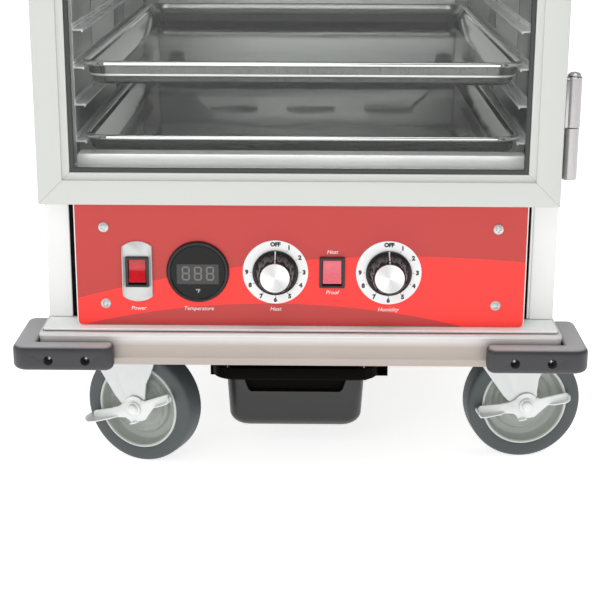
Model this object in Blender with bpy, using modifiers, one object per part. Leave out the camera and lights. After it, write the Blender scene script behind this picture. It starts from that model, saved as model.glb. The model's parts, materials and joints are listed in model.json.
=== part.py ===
"""Half-size mobile proofing cabinet for 457 x 660 mm sheet pans, as separate pieces.

Metres, +Z up. The origin is on the floor under the middle of the cabinet. The door is on
the -Y side and its hinges are on the +X side.
"""

import math

import bmesh
import bpy
from mathutils import Matrix, Vector

# --- driving dimensions -------------------------------------------------------------------
GAP = 0.0003                 # between pieces that touch
SKIN = 0.002                 # side and back sheets
OVERRUN = 0.010              # how far a cutter passes the face it opens

BODY_HALF_W = 0.265          # outside of the side panels
BODY_TOP = 0.826
TOP_SHEET = 0.003
BODY_REAR = 0.379
POST_FRONT = -0.331          # face that the door seal meets
POST_W, POST_D = 0.025, 0.031

BASE_HALF_W, BASE_HALF_D = 0.268, 0.381
BASE_BOTTOM, BASE_TOP, DECK_TOP = 0.138, 0.172, 0.174
BASE_SHEET = 0.003
DECK_FRONT = -0.374
PAD_BOTTOM = 0.1563          # corner pads that the casters bolt to
PAD_HALF_W, PAD_HALF_D = 0.045, 0.055

BUMPER_HALF_W, BUMPER_HALF_D = 0.2945, 0.403
BUMPER_LEG = 0.1045
BUMPER_BOTTOM, BUMPER_TOP = 0.140, 0.164
BUMPER_CORNER_R, BUMPER_END_R = 0.026, 0.008

DOOR_LEFT, DOOR_RIGHT = -0.264, 0.260
DOOR_BOTTOM, DOOR_TOP = 0.304, 0.820
DOOR_FRONT, DOOR_BACK = -0.371, -0.336
DOOR_RAIL, DOOR_STEP, DOOR_STEP_D = 0.0325, 0.0075, 0.003
PANE_T, GASKET_W, GASKET_T = 0.003, 0.0045, 0.003
SEAL_W, SEAL_INSET = 0.012, 0.006
HANDLE_X, HANDLE_W, HANDLE_T = -0.2475, 0.022, 0.004
HANDLE_LOW, HANDLE_HIGH, HANDLE_FRONT = 0.560, 0.680, -0.3995
HANDLE_FOOT = 0.016

HINGE_X, HINGE_Y = 0.2695, -0.355
HINGE_BOTTOMS = {"lower": 0.330, "upper": 0.691}
HINGE_SPLIT, HINGE_LEN = 0.0525, 0.103
KNUCKLE_R, DOOR_KNUCKLE_R, PIN_R = 0.0075, 0.0080, 0.0030

SILL_BOTTOM, SILL_SHOULDER, SILL_TOP = 0.303, 0.333, 0.3505
SILL_HALF_W, SILL_D = 0.230, 0.025
HEADER_BOTTOM = 0.790
MODULE_DECK_TOP, MODULE_DECK_T = 0.3325, 0.002

LEVELS = 12                  # pairs of slides
LEVEL_PITCH, FIRST_LEVEL = 0.0381, 0.357
LEDGE_IN, LEDGE_OUT, LEDGE_T = 0.2230, 0.2350, 0.002
LEDGE_FRONT, LEDGE_REAR = -0.302, 0.3565
UPRIGHT_IN, UPRIGHT_W = 0.2345, 0.020
UPRIGHT_YS = (-0.285, 0.030, 0.340)

PAN_HALF_W, PAN_HALF_D, PAN_H = 0.2286, 0.3302, 0.0254
PAN_X, PAN_Y, PAN_CORNER_R = 0.0, 0.0252, 0.028
PAN_LEVELS = {"lower": 0, "upper": 2}

DUCT_HALF_W, DUCT_FRONT, DUCT_TOP = 0.215, 0.3575, 0.785

PANEL_FACE, PANEL_BACK, PANEL_T = -0.3585, -0.3065, 0.0015
PANEL_HALF_W, PANEL_BOTTOM, PANEL_TOP, PANEL_CORNER_R = 0.231, 0.1745, 0.3018, 0.009
CONTROL_Z = 0.232
POWER_X, DISPLAY_X, HEAT_X, MODE_X, HUMIDITY_X = -0.1672, -0.1052, -0.0257, 0.0324, 0.0903
GUARD_W, GUARD_H, GUARD_T, GUARD_BOW = 0.031, 0.064, 0.0012, 0.006
POWER_SWITCH = {"bezel": (0.0243, 0.0320), "body": (0.0202, 0.0288)}     # width, height
MODE_SWITCH = {"bezel": (0.0260, 0.0326), "body": (0.0218, 0.0294)}
SWITCH_PLAY = 0.0006         # between a switch's body and the panel's edge
SWITCH_WALL, SWITCH_DEPTH, WELL_DEPTH = 0.0009, 0.022, 0.016
DISPLAY_R, DISPLAY_BODY_R = 0.0322, 0.026
DIAL_R, DIAL_T, SHAFT_R = 0.0335, 0.001, 0.0036
KNOB_R, KNOB_CAP_R, KNOB_H = 0.0235, 0.0150, 0.023
BEZEL_T = 0.003
ROCKER_PIVOT_IN = 0.004      # pivot's depth behind the panel's face
ROCKER_TILT = math.radians(8)

CASTER_X, CASTER_Y, CASTER_TRAIL = 0.207, 0.274, 0.038
CASTER_PLATE_W, CASTER_PLATE_D, CASTER_PLATE_T = 0.070, 0.095, 0.003
CASTER_TURNS = {"front_left": -23, "front_right": 8, "rear_left": 172, "rear_right": 205}
WHEEL_R, WHEEL_HALF_W, TREAD_HALF_W, AXLE_R, BORE_R = 0.0635, 0.016, 0.013, 0.0052, 0.0058
FORK_IN, FORK_T, FORK_END_R = 0.018, 0.003, 0.015
CROWN_R, CROWN_BOTTOM, CROWN_TOP = 0.031, 0.1315, 0.1360
LEVER_T, LEVER_ARM, LEVER_HALF_W = 0.003, 0.053, 0.008
LEVER_TILTS = {"front_left": 20, "front_right": 7}   # degrees, right arm up
BOLT_HEAD_R, BOLT_HEAD_T = 0.0085, 0.005

DRIP_X, DRIP_FRONT, DRIP_REAR = -0.006, -0.305, -0.165
DRIP_BOTTOM, DRIP_STEP, DRIP_TOP = 0.032, 0.0950, 0.1090
DRIP_TUB_HALF_W, DRIP_RIM_HALF_W, DRIP_WALL = 0.0759, 0.0905, 0.002
HOLDER_X, HOLDER_HALF_W, HOLDER_LIP = -0.002, 0.0975, 0.016
HOLDER_FRONT, HOLDER_REAR = -0.300, -0.190

BLOWER_X, BLOWER_Y, BLOWER_Z = -0.010, 0.250, 0.245
BLOWER_R, BLOWER_W, BLOWER_BLADES = 0.045, 0.050, 12
MOTOR_X, MOTOR_R, MOTOR_LEN = 0.070, 0.032, 0.060
WATER_X, WATER_Y, WATER_HALF_W, WATER_HALF_D = -0.110, -0.060, 0.100, 0.080
WATER_BOTTOM, WATER_PAN_H = 0.220, 0.060
VENT_HALF_W, VENT_HALF_D, DUCT_VENT_HALF_W = 0.080, 0.060, 0.120
HEATER_X, HEATER_Y, HEATER_Z, HEATER_R = 0.110, -0.040, 0.240, 0.004
INLET_X, INLET_Z = -0.180, 0.225


# --- collections, materials and small helpers ---------------------------------------------
def clear_scene():
    for obj in list(bpy.data.objects):
        bpy.data.objects.remove(obj, do_unlink=True)


def new_collection(name):
    found = bpy.data.collections.get(name) or bpy.data.collections.new(name)
    if found.name not in bpy.context.scene.collection.children:
        bpy.context.scene.collection.children.link(found)
    return found


clear_scene()
PARTS = new_collection("Proofing Cabinet")
CUTTERS = new_collection("Cutters")


def material(name, color, metallic, roughness):
    mat = bpy.data.materials.new(name)
    mat.use_nodes = True
    shader = mat.node_tree.nodes["Principled BSDF"]
    shader.inputs["Base Color"].default_value = (*color, 1.0)
    shader.inputs["Metallic"].default_value = metallic
    shader.inputs["Roughness"].default_value = roughness
    return mat


ALUMINIUM = material("satin_aluminium", (0.74, 0.75, 0.74), 0.9, 0.32)
ENAMEL = material("pale_door_enamel", (0.73, 0.76, 0.73), 0.2, 0.40)
WHITE = material("white_powder_coat", (0.84, 0.84, 0.83), 0.0, 0.45)
STEEL = material("brushed_steel", (0.62, 0.62, 0.61), 1.0, 0.28)
ZINC = material("zinc_plate", (0.70, 0.71, 0.72), 0.9, 0.35)
RED = material("red_overlay", (0.80, 0.07, 0.06), 0.0, 0.35)
RED_LENS = material("red_rocker", (0.75, 0.03, 0.04), 0.0, 0.20)
BLACK = material("black_plastic", (0.02, 0.02, 0.02), 0.0, 0.40)
DIAL = material("white_dial", (0.88, 0.88, 0.87), 0.0, 0.35)
RUBBER = material("charcoal_rubber", (0.09, 0.09, 0.10), 0.0, 0.70)
TYRE = material("grey_tyre", (0.08, 0.09, 0.10), 0.0, 0.60)
CLEAR = material("clear_pane", (0.90, 0.93, 0.93), 0.0, 0.05)
CLEAR.node_tree.nodes["Principled BSDF"].inputs["Transmission Weight"].default_value = 0.9


def link(obj, mat=None, parent=None):
    """A piece goes with the parts, a cutting or joining shape with the cutters."""
    if mat is None:
        obj.hide_render = True
        obj.display_type = "WIRE"
        CUTTERS.objects.link(obj)
    else:
        obj.data.materials.append(mat)
        PARTS.objects.link(obj)
    obj.parent = parent
    return obj


def axis_empty(name, place, turn=0.0):
    empty = bpy.data.objects.new(name, None)
    empty.location = place
    empty.rotation_euler = (0, 0, turn)
    PARTS.objects.link(empty)
    return empty


def boxes(name, corners, mat=None, parent=None):
    """One mesh of separate boxes, each given by its lowest and highest corner."""
    mesh = bpy.data.meshes.new(name)
    bm = bmesh.new()
    for low, high in corners:
        low, high = Vector(low), Vector(high)
        size = Matrix.Diagonal((*(high - low), 1.0))
        bmesh.ops.create_cube(bm, size=1.0, matrix=Matrix.Translation((low + high) / 2) @ size)
    bm.to_mesh(mesh)
    bm.free()
    return link(bpy.data.objects.new(name, mesh), mat, parent)


def box(name, low, high, mat=None, parent=None):
    return boxes(name, [(low, high)], mat, parent)


def smooth(obj):
    obj.data.shade_smooth()
    obj.data.set_sharp_from_angle(angle=math.radians(35))
    return obj


def cylinder(name, radius, low, high, place, steps, mat=None, parent=None, turn=(0, 0, 0)):
    """A cylinder between two heights on its own Z axis."""
    mesh = bpy.data.meshes.new(name)
    bm = bmesh.new()
    middle = Matrix.Translation((0, 0, (low + high) / 2))
    bmesh.ops.create_cone(bm, cap_ends=True, segments=steps, radius1=radius, radius2=radius,
                          depth=high - low, matrix=middle)
    bm.to_mesh(mesh)
    bm.free()
    obj = link(bpy.data.objects.new(name, mesh), mat, parent)
    obj.location = place
    obj.rotation_euler = turn
    return smooth(obj)


def turned(name, profile, place, steps, mat=None, parent=None, turn=(0, 0, 0), ring=False):
    """A Screw of (radius, height) points, listed down the outer side; a ring is closed."""
    mesh = bpy.data.meshes.new(name)
    count = len(profile)
    edges = [(i, (i + 1) % count) for i in range(count if ring else count - 1)]
    mesh.from_pydata([(r, 0, h) for r, h in profile], edges, [])
    obj = link(bpy.data.objects.new(name, mesh), mat, parent)
    screw = obj.modifiers.new("turn", "SCREW")
    screw.steps = screw.render_steps = steps
    screw.use_merge_vertices = True
    screw.merge_threshold = 0.00001
    screw.use_smooth_shade = True
    obj.location = place
    obj.rotation_euler = turn
    return obj


FACE_FRONT = (math.pi / 2, 0, 0)      # a piece's own +Z points out of the cabinet's front
SIDE_OUTLINE = Matrix(((0, 0, 1), (1, 0, 0), (0, 1, 0)))   # an outline of (y, z), along X


def plate(name, outline, low, high, mat=None, parent=None, holes=()):
    """A flat outline in its own XY plane, between two heights on its Z axis."""
    curve = bpy.data.curves.new(name, "CURVE")
    curve.dimensions = "2D"
    curve.fill_mode = "BOTH"
    curve.extrude = (high - low) / 2
    for loop in (outline, *holes):
        spline = curve.splines.new("POLY")
        spline.points.add(len(loop) - 1)
        spline.use_cyclic_u = True
        for point, (x, y) in zip(spline.points, loop):
            point.co = (x, y, 0, 1)
    guide = bpy.data.objects.new(name + "_outline", curve)
    CUTTERS.objects.link(guide)
    bpy.context.view_layer.update()
    drawn = guide.evaluated_get(bpy.context.evaluated_depsgraph_get())
    mesh = bpy.data.meshes.new_from_object(drawn)
    bpy.data.objects.remove(guide)
    bm = bmesh.new()
    bm.from_mesh(mesh)
    bmesh.ops.remove_doubles(bm, verts=bm.verts, dist=0.00001)
    bmesh.ops.translate(bm, verts=bm.verts, vec=(0, 0, (low + high) / 2))
    bmesh.ops.recalc_face_normals(bm, faces=bm.faces)
    bm.to_mesh(mesh)
    bm.free()
    mesh.name = name
    return link(bpy.data.objects.new(name, mesh), mat, parent)


def arc(center, radius, start, end, steps):
    """Points on an arc, its ends included; angles in degrees."""
    turns = [math.radians(start + (end - start) * i / steps) for i in range(steps + 1)]
    return [(center[0] + radius * math.cos(a), center[1] + radius * math.sin(a)) for a in turns]


def rounded_rect(half_x, half_y, radius, steps=3):
    points = []
    for corner, (sx, sy) in enumerate(((1, 1), (-1, 1), (-1, -1), (1, -1))):
        center = (sx * (half_x - radius), sy * (half_y - radius))
        points += arc(center, radius, 90 * corner, 90 * corner + 90, steps)
    return points


def tray(name, half_x, half_y, corner_r, section, place, mat, parent=None):
    """A loft of rounded rectangles: the section lists (inset, height) from the underside,
    out over the rim and down to the floor inside."""
    mesh = bpy.data.meshes.new(name)
    bm = bmesh.new()
    loops = []
    for inset, height in section:
        outline = rounded_rect(half_x - inset, half_y - inset, corner_r - min(inset, corner_r / 2))
        loops.append([bm.verts.new((x, y, height)) for x, y in outline])
    for lower, upper in zip(loops, loops[1:]):
        for i in range(len(lower)):
            j = (i + 1) % len(lower)
            bm.faces.new((lower[i], lower[j], upper[j], upper[i]))
    bm.faces.new(list(reversed(loops[0])))
    bm.faces.new(loops[-1])
    bm.to_mesh(mesh)
    bm.free()
    obj = link(bpy.data.objects.new(name, mesh), mat, parent)
    obj.location = place
    return smooth(obj)


def boolean(target, tool, operation):
    change = target.modifiers.new(tool.name, "BOOLEAN")
    change.operation = operation
    change.solver = "EXACT"
    change.object = tool
    return target


def cut(target, tool):
    return boolean(target, tool, "DIFFERENCE")


def join(target, tool):
    return boolean(target, tool, "UNION")


# --- base, bumpers and casters ------------------------------------------------------------
def base_frame():
    frame = box("base_frame", (-BASE_HALF_W, -BASE_HALF_D, BASE_BOTTOM),
                (BASE_HALF_W, BASE_HALF_D, BASE_TOP), ALUMINIUM)
    inner_w, inner_d = BASE_HALF_W - BASE_SHEET, BASE_HALF_D - BASE_SHEET
    cut(frame, box("base_hollow", (-inner_w, -inner_d, BASE_BOTTOM - OVERRUN),
                   (inner_w, inner_d, BASE_TOP - BASE_SHEET)))
    join(frame, box("deck_step", (-BODY_HALF_W, DECK_FRONT, BASE_TOP - 0.001),
                    (BODY_HALF_W, BODY_REAR, DECK_TOP)))
    pads = []
    for sx in (-1, 1):
        for sy in (-1, 1):
            x, y = sx * CASTER_X, sy * CASTER_Y
            pads.append(((x - PAD_HALF_W, y - PAD_HALF_D, PAD_BOTTOM),
                         (x + PAD_HALF_W, y + PAD_HALF_D, BASE_TOP - 0.002)))
    join(frame, boxes("caster_pads", pads))


def bumper(name, sx, sy):
    """An L of moulded rubber that wraps one corner of the base."""
    leg_x, leg_y = BUMPER_HALF_W - BUMPER_LEG, BUMPER_HALF_D - BUMPER_LEG
    in_x, in_y = BASE_HALF_W + GAP, BASE_HALF_D + GAP
    r, e = BUMPER_CORNER_R, BUMPER_END_R
    outline = [(in_x, in_y), (in_x, leg_y)]
    outline += arc((BUMPER_HALF_W - e, leg_y + e), e, -90, 0, 2)
    outline += arc((BUMPER_HALF_W - r, BUMPER_HALF_D - r), r, 0, 90, 4)
    outline += arc((leg_x + e, BUMPER_HALF_D - e), e, 90, 180, 2)
    outline += [(leg_x, in_y)]
    outline = [(sx * x, sy * y) for x, y in outline]
    plate(name, outline, BUMPER_BOTTOM, BUMPER_TOP, RUBBER)


def caster_plate(name, swivel):
    """Top plate with the bearing race under it, in the swivel's place but not turned."""
    low = PAD_BOTTOM - GAP - CASTER_PLATE_T
    top = box(name, (-CASTER_PLATE_W / 2, -CASTER_PLATE_D / 2, low),
              (CASTER_PLATE_W / 2, CASTER_PLATE_D / 2, PAD_BOTTOM - GAP), ZINC)
    top.location = swivel.location
    race = cylinder(name + "_race", CROWN_R - 0.001, CROWN_TOP + GAP, low + 0.001,
                    swivel.location, 20)
    join(top, race)


def fork(name, swivel, lever_room):
    """Crown, two legs and the axle bolt; the wheel trails along the swivel's +X."""
    crown = cylinder(name, CROWN_R, CROWN_BOTTOM, CROWN_TOP, (0, 0, 0), 20, ZINC, swivel)
    reach, trail = CROWN_BOTTOM + 0.002, CASTER_TRAIL
    outline = [(trail - 0.056, reach), (trail - 0.050, 0.118)]
    outline += arc((trail, WHEEL_R), FORK_END_R, 200, 375, 6)
    outline += [(trail + 0.015, 0.090), (trail + 0.025, 0.112), (trail + 0.026, 0.122),
                (trail + 0.010, reach)]
    legs = plate(name + "_legs", outline, -FORK_IN - FORK_T, -FORK_IN, None, swivel)
    legs.rotation_euler = FACE_FRONT
    both = legs.modifiers.new("pair", "MIRROR")
    both.use_axis = (False, False, True)
    both.merge_threshold = 0.00001
    join(crown, legs)
    side = FORK_IN + FORK_T
    head = side + lever_room
    profile = [(0, head + BOLT_HEAD_T), (BOLT_HEAD_R, head + BOLT_HEAD_T), (BOLT_HEAD_R, head),
               (AXLE_R, head), (AXLE_R, -side), (BOLT_HEAD_R, -side),
               (BOLT_HEAD_R, -side - BOLT_HEAD_T), (0, -side - BOLT_HEAD_T)]
    bolt = turned(name + "_bolt", profile, (CASTER_TRAIL, 0, WHEEL_R), 12, None, swivel, FACE_FRONT)
    join(crown, bolt)


def wheel(name, swivel):
    w, boss, tread = WHEEL_HALF_W, WHEEL_HALF_W + 0.0005, TREAD_HALF_W
    outer = [(WHEEL_R, tread), (WHEEL_R, -tread), (WHEEL_R - 0.003, -w), (0.047, -w),
             (0.045, -0.008), (0.020, -0.008), (0.016, -boss), (BORE_R, -boss)]
    profile = outer + [(r, -h) for r, h in reversed(outer[2:])]
    turned(name, profile, (CASTER_TRAIL, 0, WHEEL_R), 20, TYRE, swivel, FACE_FRONT, ring=True)


def brake_lever(name, swivel, tilt):
    """A two-armed rocking lever between the fork's leg and the bolt's head."""
    arm, half = LEVER_ARM, LEVER_HALF_W
    outline = arc((arm - half, 0), half, -70, 70, 4) + arc((0, 0), 0.014, 60, 120, 3)
    outline += arc((half - arm, 0), half, 110, 250, 4) + arc((0, 0), 0.014, 240, 300, 3)
    side = FORK_IN + FORK_T + GAP
    hole = arc((0, 0), AXLE_R + 0.0005, 0, 330, 11)
    lever = plate(name, outline, side, side + LEVER_T, ZINC, swivel, holes=[hole])
    lever.location = (CASTER_TRAIL, 0, WHEEL_R)
    lever.rotation_euler = (math.pi / 2, -math.radians(tilt), 0)


def casters():
    for corner, turn in CASTER_TURNS.items():
        x = CASTER_X if corner.endswith("right") else -CASTER_X
        y = CASTER_Y if corner.startswith("rear") else -CASTER_Y
        swivel = axis_empty("swivel_axis_" + corner, (x, y, 0), math.radians(turn))
        caster_plate("caster_plate_" + corner, swivel)
        braked = corner in LEVER_TILTS
        fork("caster_fork_" + corner, swivel, LEVER_T + 2 * GAP if braked else 0.0)
        wheel("caster_wheel_" + corner, swivel)
        if braked:
            brake_lever("brake_lever_" + corner, swivel, LEVER_TILTS[corner])


# --- cabinet body -------------------------------------------------------------------------
def body_panels():
    low, high = DECK_TOP + GAP, BODY_TOP - TOP_SHEET - GAP
    post_back = POST_FRONT + POST_D
    for side, sx in (("left", -1), ("right", 1)):
        xs = sorted((sx * BODY_HALF_W, sx * (BODY_HALF_W - POST_W)))
        box("post_" + side, (xs[0], POST_FRONT, low), (xs[1], post_back, high), WHITE)
        xs = sorted((sx * BODY_HALF_W, sx * (BODY_HALF_W - SKIN)))
        box("side_panel_" + side, (xs[0], post_back + GAP, low), (xs[1], BODY_REAR, high), ALUMINIUM)
    inner = BODY_HALF_W - SKIN - GAP
    box("back_panel", (-inner, BODY_REAR - SKIN, low), (inner, BODY_REAR, high), ALUMINIUM)
    box("top_panel", (-BODY_HALF_W, POST_FRONT, BODY_TOP - TOP_SHEET),
        (BODY_HALF_W, BODY_REAR, BODY_TOP), ALUMINIUM)
    reach = BODY_HALF_W - POST_W - GAP
    box("header_rail", (-reach, POST_FRONT, HEADER_BOTTOM), (reach, POST_FRONT + SILL_D, high), WHITE)
    sill = box("sill_rail", (-reach, POST_FRONT, SILL_BOTTOM),
               (reach, POST_FRONT + SILL_D, SILL_SHOULDER), ALUMINIUM)
    lip = box("sill_lip", (-SILL_HALF_W, POST_FRONT + 0.001, SILL_SHOULDER - 0.002),
              (SILL_HALF_W, POST_FRONT + SILL_D - 0.001, SILL_TOP))
    join(sill, lip)


def slide_rack(side, sx):
    def span(a, b):
        return sorted((sx * a, sx * b))

    outer = BODY_HALF_W - SKIN - GAP
    x_low, x_high = span(UPRIGHT_IN, outer)
    uprights = [((x_low, y - UPRIGHT_W / 2, MODULE_DECK_TOP + GAP),
                 (x_high, y + UPRIGHT_W / 2, BODY_TOP - TOP_SHEET - 2 * GAP)) for y in UPRIGHT_YS]
    rack = boxes("slide_rack_" + side, uprights, ALUMINIUM)
    x_low, x_high = span(LEDGE_IN, LEDGE_OUT)
    ledges = []
    for level in range(LEVELS):
        top = FIRST_LEVEL + level * LEVEL_PITCH
        ledges.append(((x_low, LEDGE_FRONT, top - LEDGE_T), (x_high, LEDGE_REAR, top)))
    join(rack, boxes("ledges_" + side, ledges))


def air_duct():
    """Shallow box that spreads the warm moist air over the cabinet's back wall."""
    rear = BODY_REAR - SKIN - GAP
    low = MODULE_DECK_TOP + GAP
    duct = box("air_duct", (-DUCT_HALF_W, DUCT_FRONT, low), (DUCT_HALF_W, rear, DUCT_TOP), ALUMINIUM)
    cut(duct, box("duct_hollow", (-DUCT_HALF_W + SKIN, DUCT_FRONT + SKIN, low - OVERRUN),
                  (DUCT_HALF_W - SKIN, rear + OVERRUN, DUCT_TOP - SKIN)))


def sheet_pan(name, level):
    """A tapered 25 mm deep tray with a rolled bead round its rim."""
    section = [(0.0115, 0.0), (0.0062, 0.0194), (0.0014, 0.0194), (0.0, 0.0208), (0.0, 0.0240),
               (0.0014, PAN_H), (0.0060, PAN_H), (0.0074, 0.0240), (0.0127, 0.0012)]
    bead_bottom = 0.0194
    rest = FIRST_LEVEL + level * LEVEL_PITCH + GAP - bead_bottom
    tray(name, PAN_HALF_W, PAN_HALF_D, PAN_CORNER_R, section, (PAN_X, PAN_Y, rest), ALUMINIUM)


# --- heat and humidity module -------------------------------------------------------------
def module_deck():
    low = MODULE_DECK_TOP - MODULE_DECK_T
    half = BODY_HALF_W - SKIN - GAP
    front = POST_FRONT + POST_D + 2 * GAP
    deck = box("module_deck", (-half, front, low),
               (half, BODY_REAR - SKIN - GAP, MODULE_DECK_TOP), ALUMINIUM)
    vents = [((WATER_X - VENT_HALF_W, WATER_Y - VENT_HALF_D, low - OVERRUN),
              (WATER_X + VENT_HALF_W, WATER_Y + VENT_HALF_D, MODULE_DECK_TOP + OVERRUN)),
             ((-DUCT_VENT_HALF_W, DUCT_FRONT + 0.003, low - OVERRUN),
              (DUCT_VENT_HALF_W, DUCT_FRONT + 0.016, MODULE_DECK_TOP + OVERRUN))]
    cut(deck, boxes("deck_vents", vents))


def around(x, size, front, back, inset=0.0):
    """Corners of a box of that width and height centred on a control at x."""
    half_w, half_h = size[0] / 2 - inset, size[1] / 2 - inset
    return ((x - half_w, front, CONTROL_Z - half_h), (x + half_w, back, CONTROL_Z + half_h))


def control_panel():
    """Shallow cover with returned edges and rounded bottom corners, open at the back."""
    r, half = PANEL_CORNER_R, PANEL_HALF_W
    outline = [(half, PANEL_TOP), (-half, PANEL_TOP)]
    outline += arc((r - half, PANEL_BOTTOM + r), r, 180, 270, 3)
    outline += arc((half - r, PANEL_BOTTOM + r), r, 270, 360, 3)
    panel = plate("control_panel", outline, -PANEL_BACK, -PANEL_FACE, RED)
    panel.rotation_euler = FACE_FRONT
    t = PANEL_T
    cut(panel, box("panel_hollow", (t - half, PANEL_FACE + t, PANEL_BOTTOM + r),
                   (half - t, PANEL_BACK + OVERRUN, PANEL_TOP - t)))
    cut(panel, box("panel_hollow_low", (r - half, PANEL_FACE + t, PANEL_BOTTOM + t),
                   (half - r, PANEL_BACK + OVERRUN, PANEL_BOTTOM + r + 0.001)))
    front, back = PANEL_FACE - OVERRUN, PANEL_FACE + OVERRUN
    cut(panel, boxes("switch_holes", [
        around(POWER_X, POWER_SWITCH["body"], front, back, -SWITCH_PLAY / 2),
        around(MODE_X, MODE_SWITCH["body"], front, back, -SWITCH_PLAY / 2)]))
    for name, x, radius, steps in (("display_hole", DISPLAY_X, DISPLAY_BODY_R + 0.0008, 28),
                                   ("heat_shaft_hole", HEAT_X, SHAFT_R + 0.0012, 12),
                                   ("humidity_shaft_hole", HUMIDITY_X, SHAFT_R + 0.0012, 12)):
        cut(panel, cylinder(name, radius, -OVERRUN, OVERRUN, (x, PANEL_FACE, CONTROL_Z), steps,
                            turn=FACE_FRONT))


def switch_guard():
    """Flat plate behind the power switch, with a bowed top and bottom."""
    half = GUARD_W / 2
    bow_r = (half ** 2 + GUARD_BOW ** 2) / (2 * GUARD_BOW)
    spread = math.degrees(math.asin(half / bow_r))
    top = arc((0, GUARD_H / 2 - bow_r), bow_r, 90 - spread, 90 + spread, 6)
    outline = top + [(-x, -y) for x, y in top]
    hole_w, hole_h = (size / 2 + GAP for size in POWER_SWITCH["body"])
    hole = [(hole_w, hole_h), (-hole_w, hole_h), (-hole_w, -hole_h), (hole_w, -hole_h)]
    guard = plate("switch_guard", outline, GAP, GAP + GUARD_T, STEEL, holes=[hole])
    guard.location = (POWER_X, PANEL_FACE, CONTROL_Z)
    guard.rotation_euler = FACE_FRONT


def rocker_switch(name, x, sizes, seat, mat):
    """Switch body with its bezel, and the rocker that tips in it about an axis along X."""
    front = PANEL_FACE - seat
    body = box(name + "_switch_body", *around(x, sizes["bezel"], front - BEZEL_T, front), BLACK)
    join(body, box(name + "_body_block",
                   *around(x, sizes["body"], front - 0.001, PANEL_FACE + SWITCH_DEPTH)))
    cut(body, box(name + "_well", *around(x, sizes["body"], front - OVERRUN,
                                          PANEL_FACE + WELL_DEPTH, SWITCH_WALL)))
    half_w = sizes["body"][0] / 2 - SWITCH_WALL - 0.0004
    tip = sizes["body"][1] / 2 - SWITCH_WALL - 0.0012
    outline = [(-0.0080, tip), (-0.0062, 0), (-0.0080, -tip), (0.0, 0.003 - tip),
               (0.006, -0.0055), (0.0075, 0.0), (0.006, 0.0055), (0.0, tip - 0.003)]
    rocker = plate(name + "_rocker", outline, -half_w, half_w, mat)
    rocker.location = (x, PANEL_FACE + ROCKER_PIVOT_IN, CONTROL_Z)
    rocker.rotation_euler = (Matrix.Rotation(-ROCKER_TILT, 3, "X") @ SIDE_OUTLINE).to_euler()


def display_unit():
    r, back = DISPLAY_R, DISPLAY_BODY_R
    profile = [(0, 0.0027), (r - 0.0052, 0.0027), (r - 0.0037, 0.0040), (r - 0.0012, 0.0040),
               (r, 0.0028), (r, GAP), (back, GAP), (back, -0.026), (0, -0.026)]
    turned("display_unit", profile, (DISPLAY_X, PANEL_FACE, CONTROL_Z), 28, BLACK, None, FACE_FRONT)


def dial(name, x):
    """Printed plate on the panel and the skirted knob whose shaft passes through both."""
    place = (x, PANEL_FACE, CONTROL_Z)
    front, hole = GAP + DIAL_T, SHAFT_R + 0.0012
    turned(name + "_dial_plate", [(DIAL_R, front), (DIAL_R, GAP), (hole, GAP), (hole, front)],
           place, 28, DIAL, None, FACE_FRONT, ring=True)
    low = front + 0.0005
    top = front + KNOB_H
    profile = [(0, top), (KNOB_CAP_R, top), (KNOB_CAP_R + 0.0010, top - 0.001),
               (KNOB_CAP_R + 0.0035, low + 0.008), (KNOB_R, low + 0.004), (KNOB_R, low),
               (SHAFT_R, low), (SHAFT_R, -0.014), (0, -0.014)]
    turned(name + "_knob", profile, place, 24, BLACK, None, FACE_FRONT)


def blower():
    """Motor on the right, and the slotted drum that its shaft turns."""
    sideways = (0, math.pi / 2, 0)          # own +Z points along +X
    half, shaft = BLOWER_W / 2, 0.004
    reach = MOTOR_X - BLOWER_X
    profile = [(0, MOTOR_LEN / 2), (MOTOR_R, MOTOR_LEN / 2), (MOTOR_R, -MOTOR_LEN / 2),
               (shaft, -MOTOR_LEN / 2), (shaft, -reach - half), (0, -reach - half)]
    turned("blower_motor", profile, (MOTOR_X, BLOWER_Y, BLOWER_Z), 20, BLACK, None, sideways)
    bore, wall = shaft + 0.0005, 0.003
    section = [(BLOWER_R, half), (BLOWER_R, -half), (BLOWER_R - wall, -half),
               (BLOWER_R - wall, half - wall), (0.010, half - wall), (0.010, -0.010),
               (bore, -0.010), (bore, half)]
    place = (BLOWER_X, BLOWER_Y, BLOWER_Z)
    drum = turned("blower_wheel", section, place, BLOWER_BLADES * 2, ALUMINIUM, None, sideways,
                  ring=True)
    mesh = bpy.data.meshes.new("blade_slots")
    bm = bmesh.new()
    for blade in range(BLOWER_BLADES):
        turn = Matrix.Rotation(2 * math.pi * (blade + 0.5) / BLOWER_BLADES, 4, "Z")
        move = Matrix.Translation((BLOWER_R - wall / 2, 0, -0.002))
        size = Matrix.Diagonal((0.012, 0.008, BLOWER_W - 0.014, 1.0))
        bmesh.ops.create_cube(bm, size=1.0, matrix=turn @ move @ size)
    bm.to_mesh(mesh)
    bm.free()
    slots = link(bpy.data.objects.new("blade_slots", mesh))
    slots.location = place
    slots.rotation_euler = sideways
    cut(drum, slots)


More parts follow.
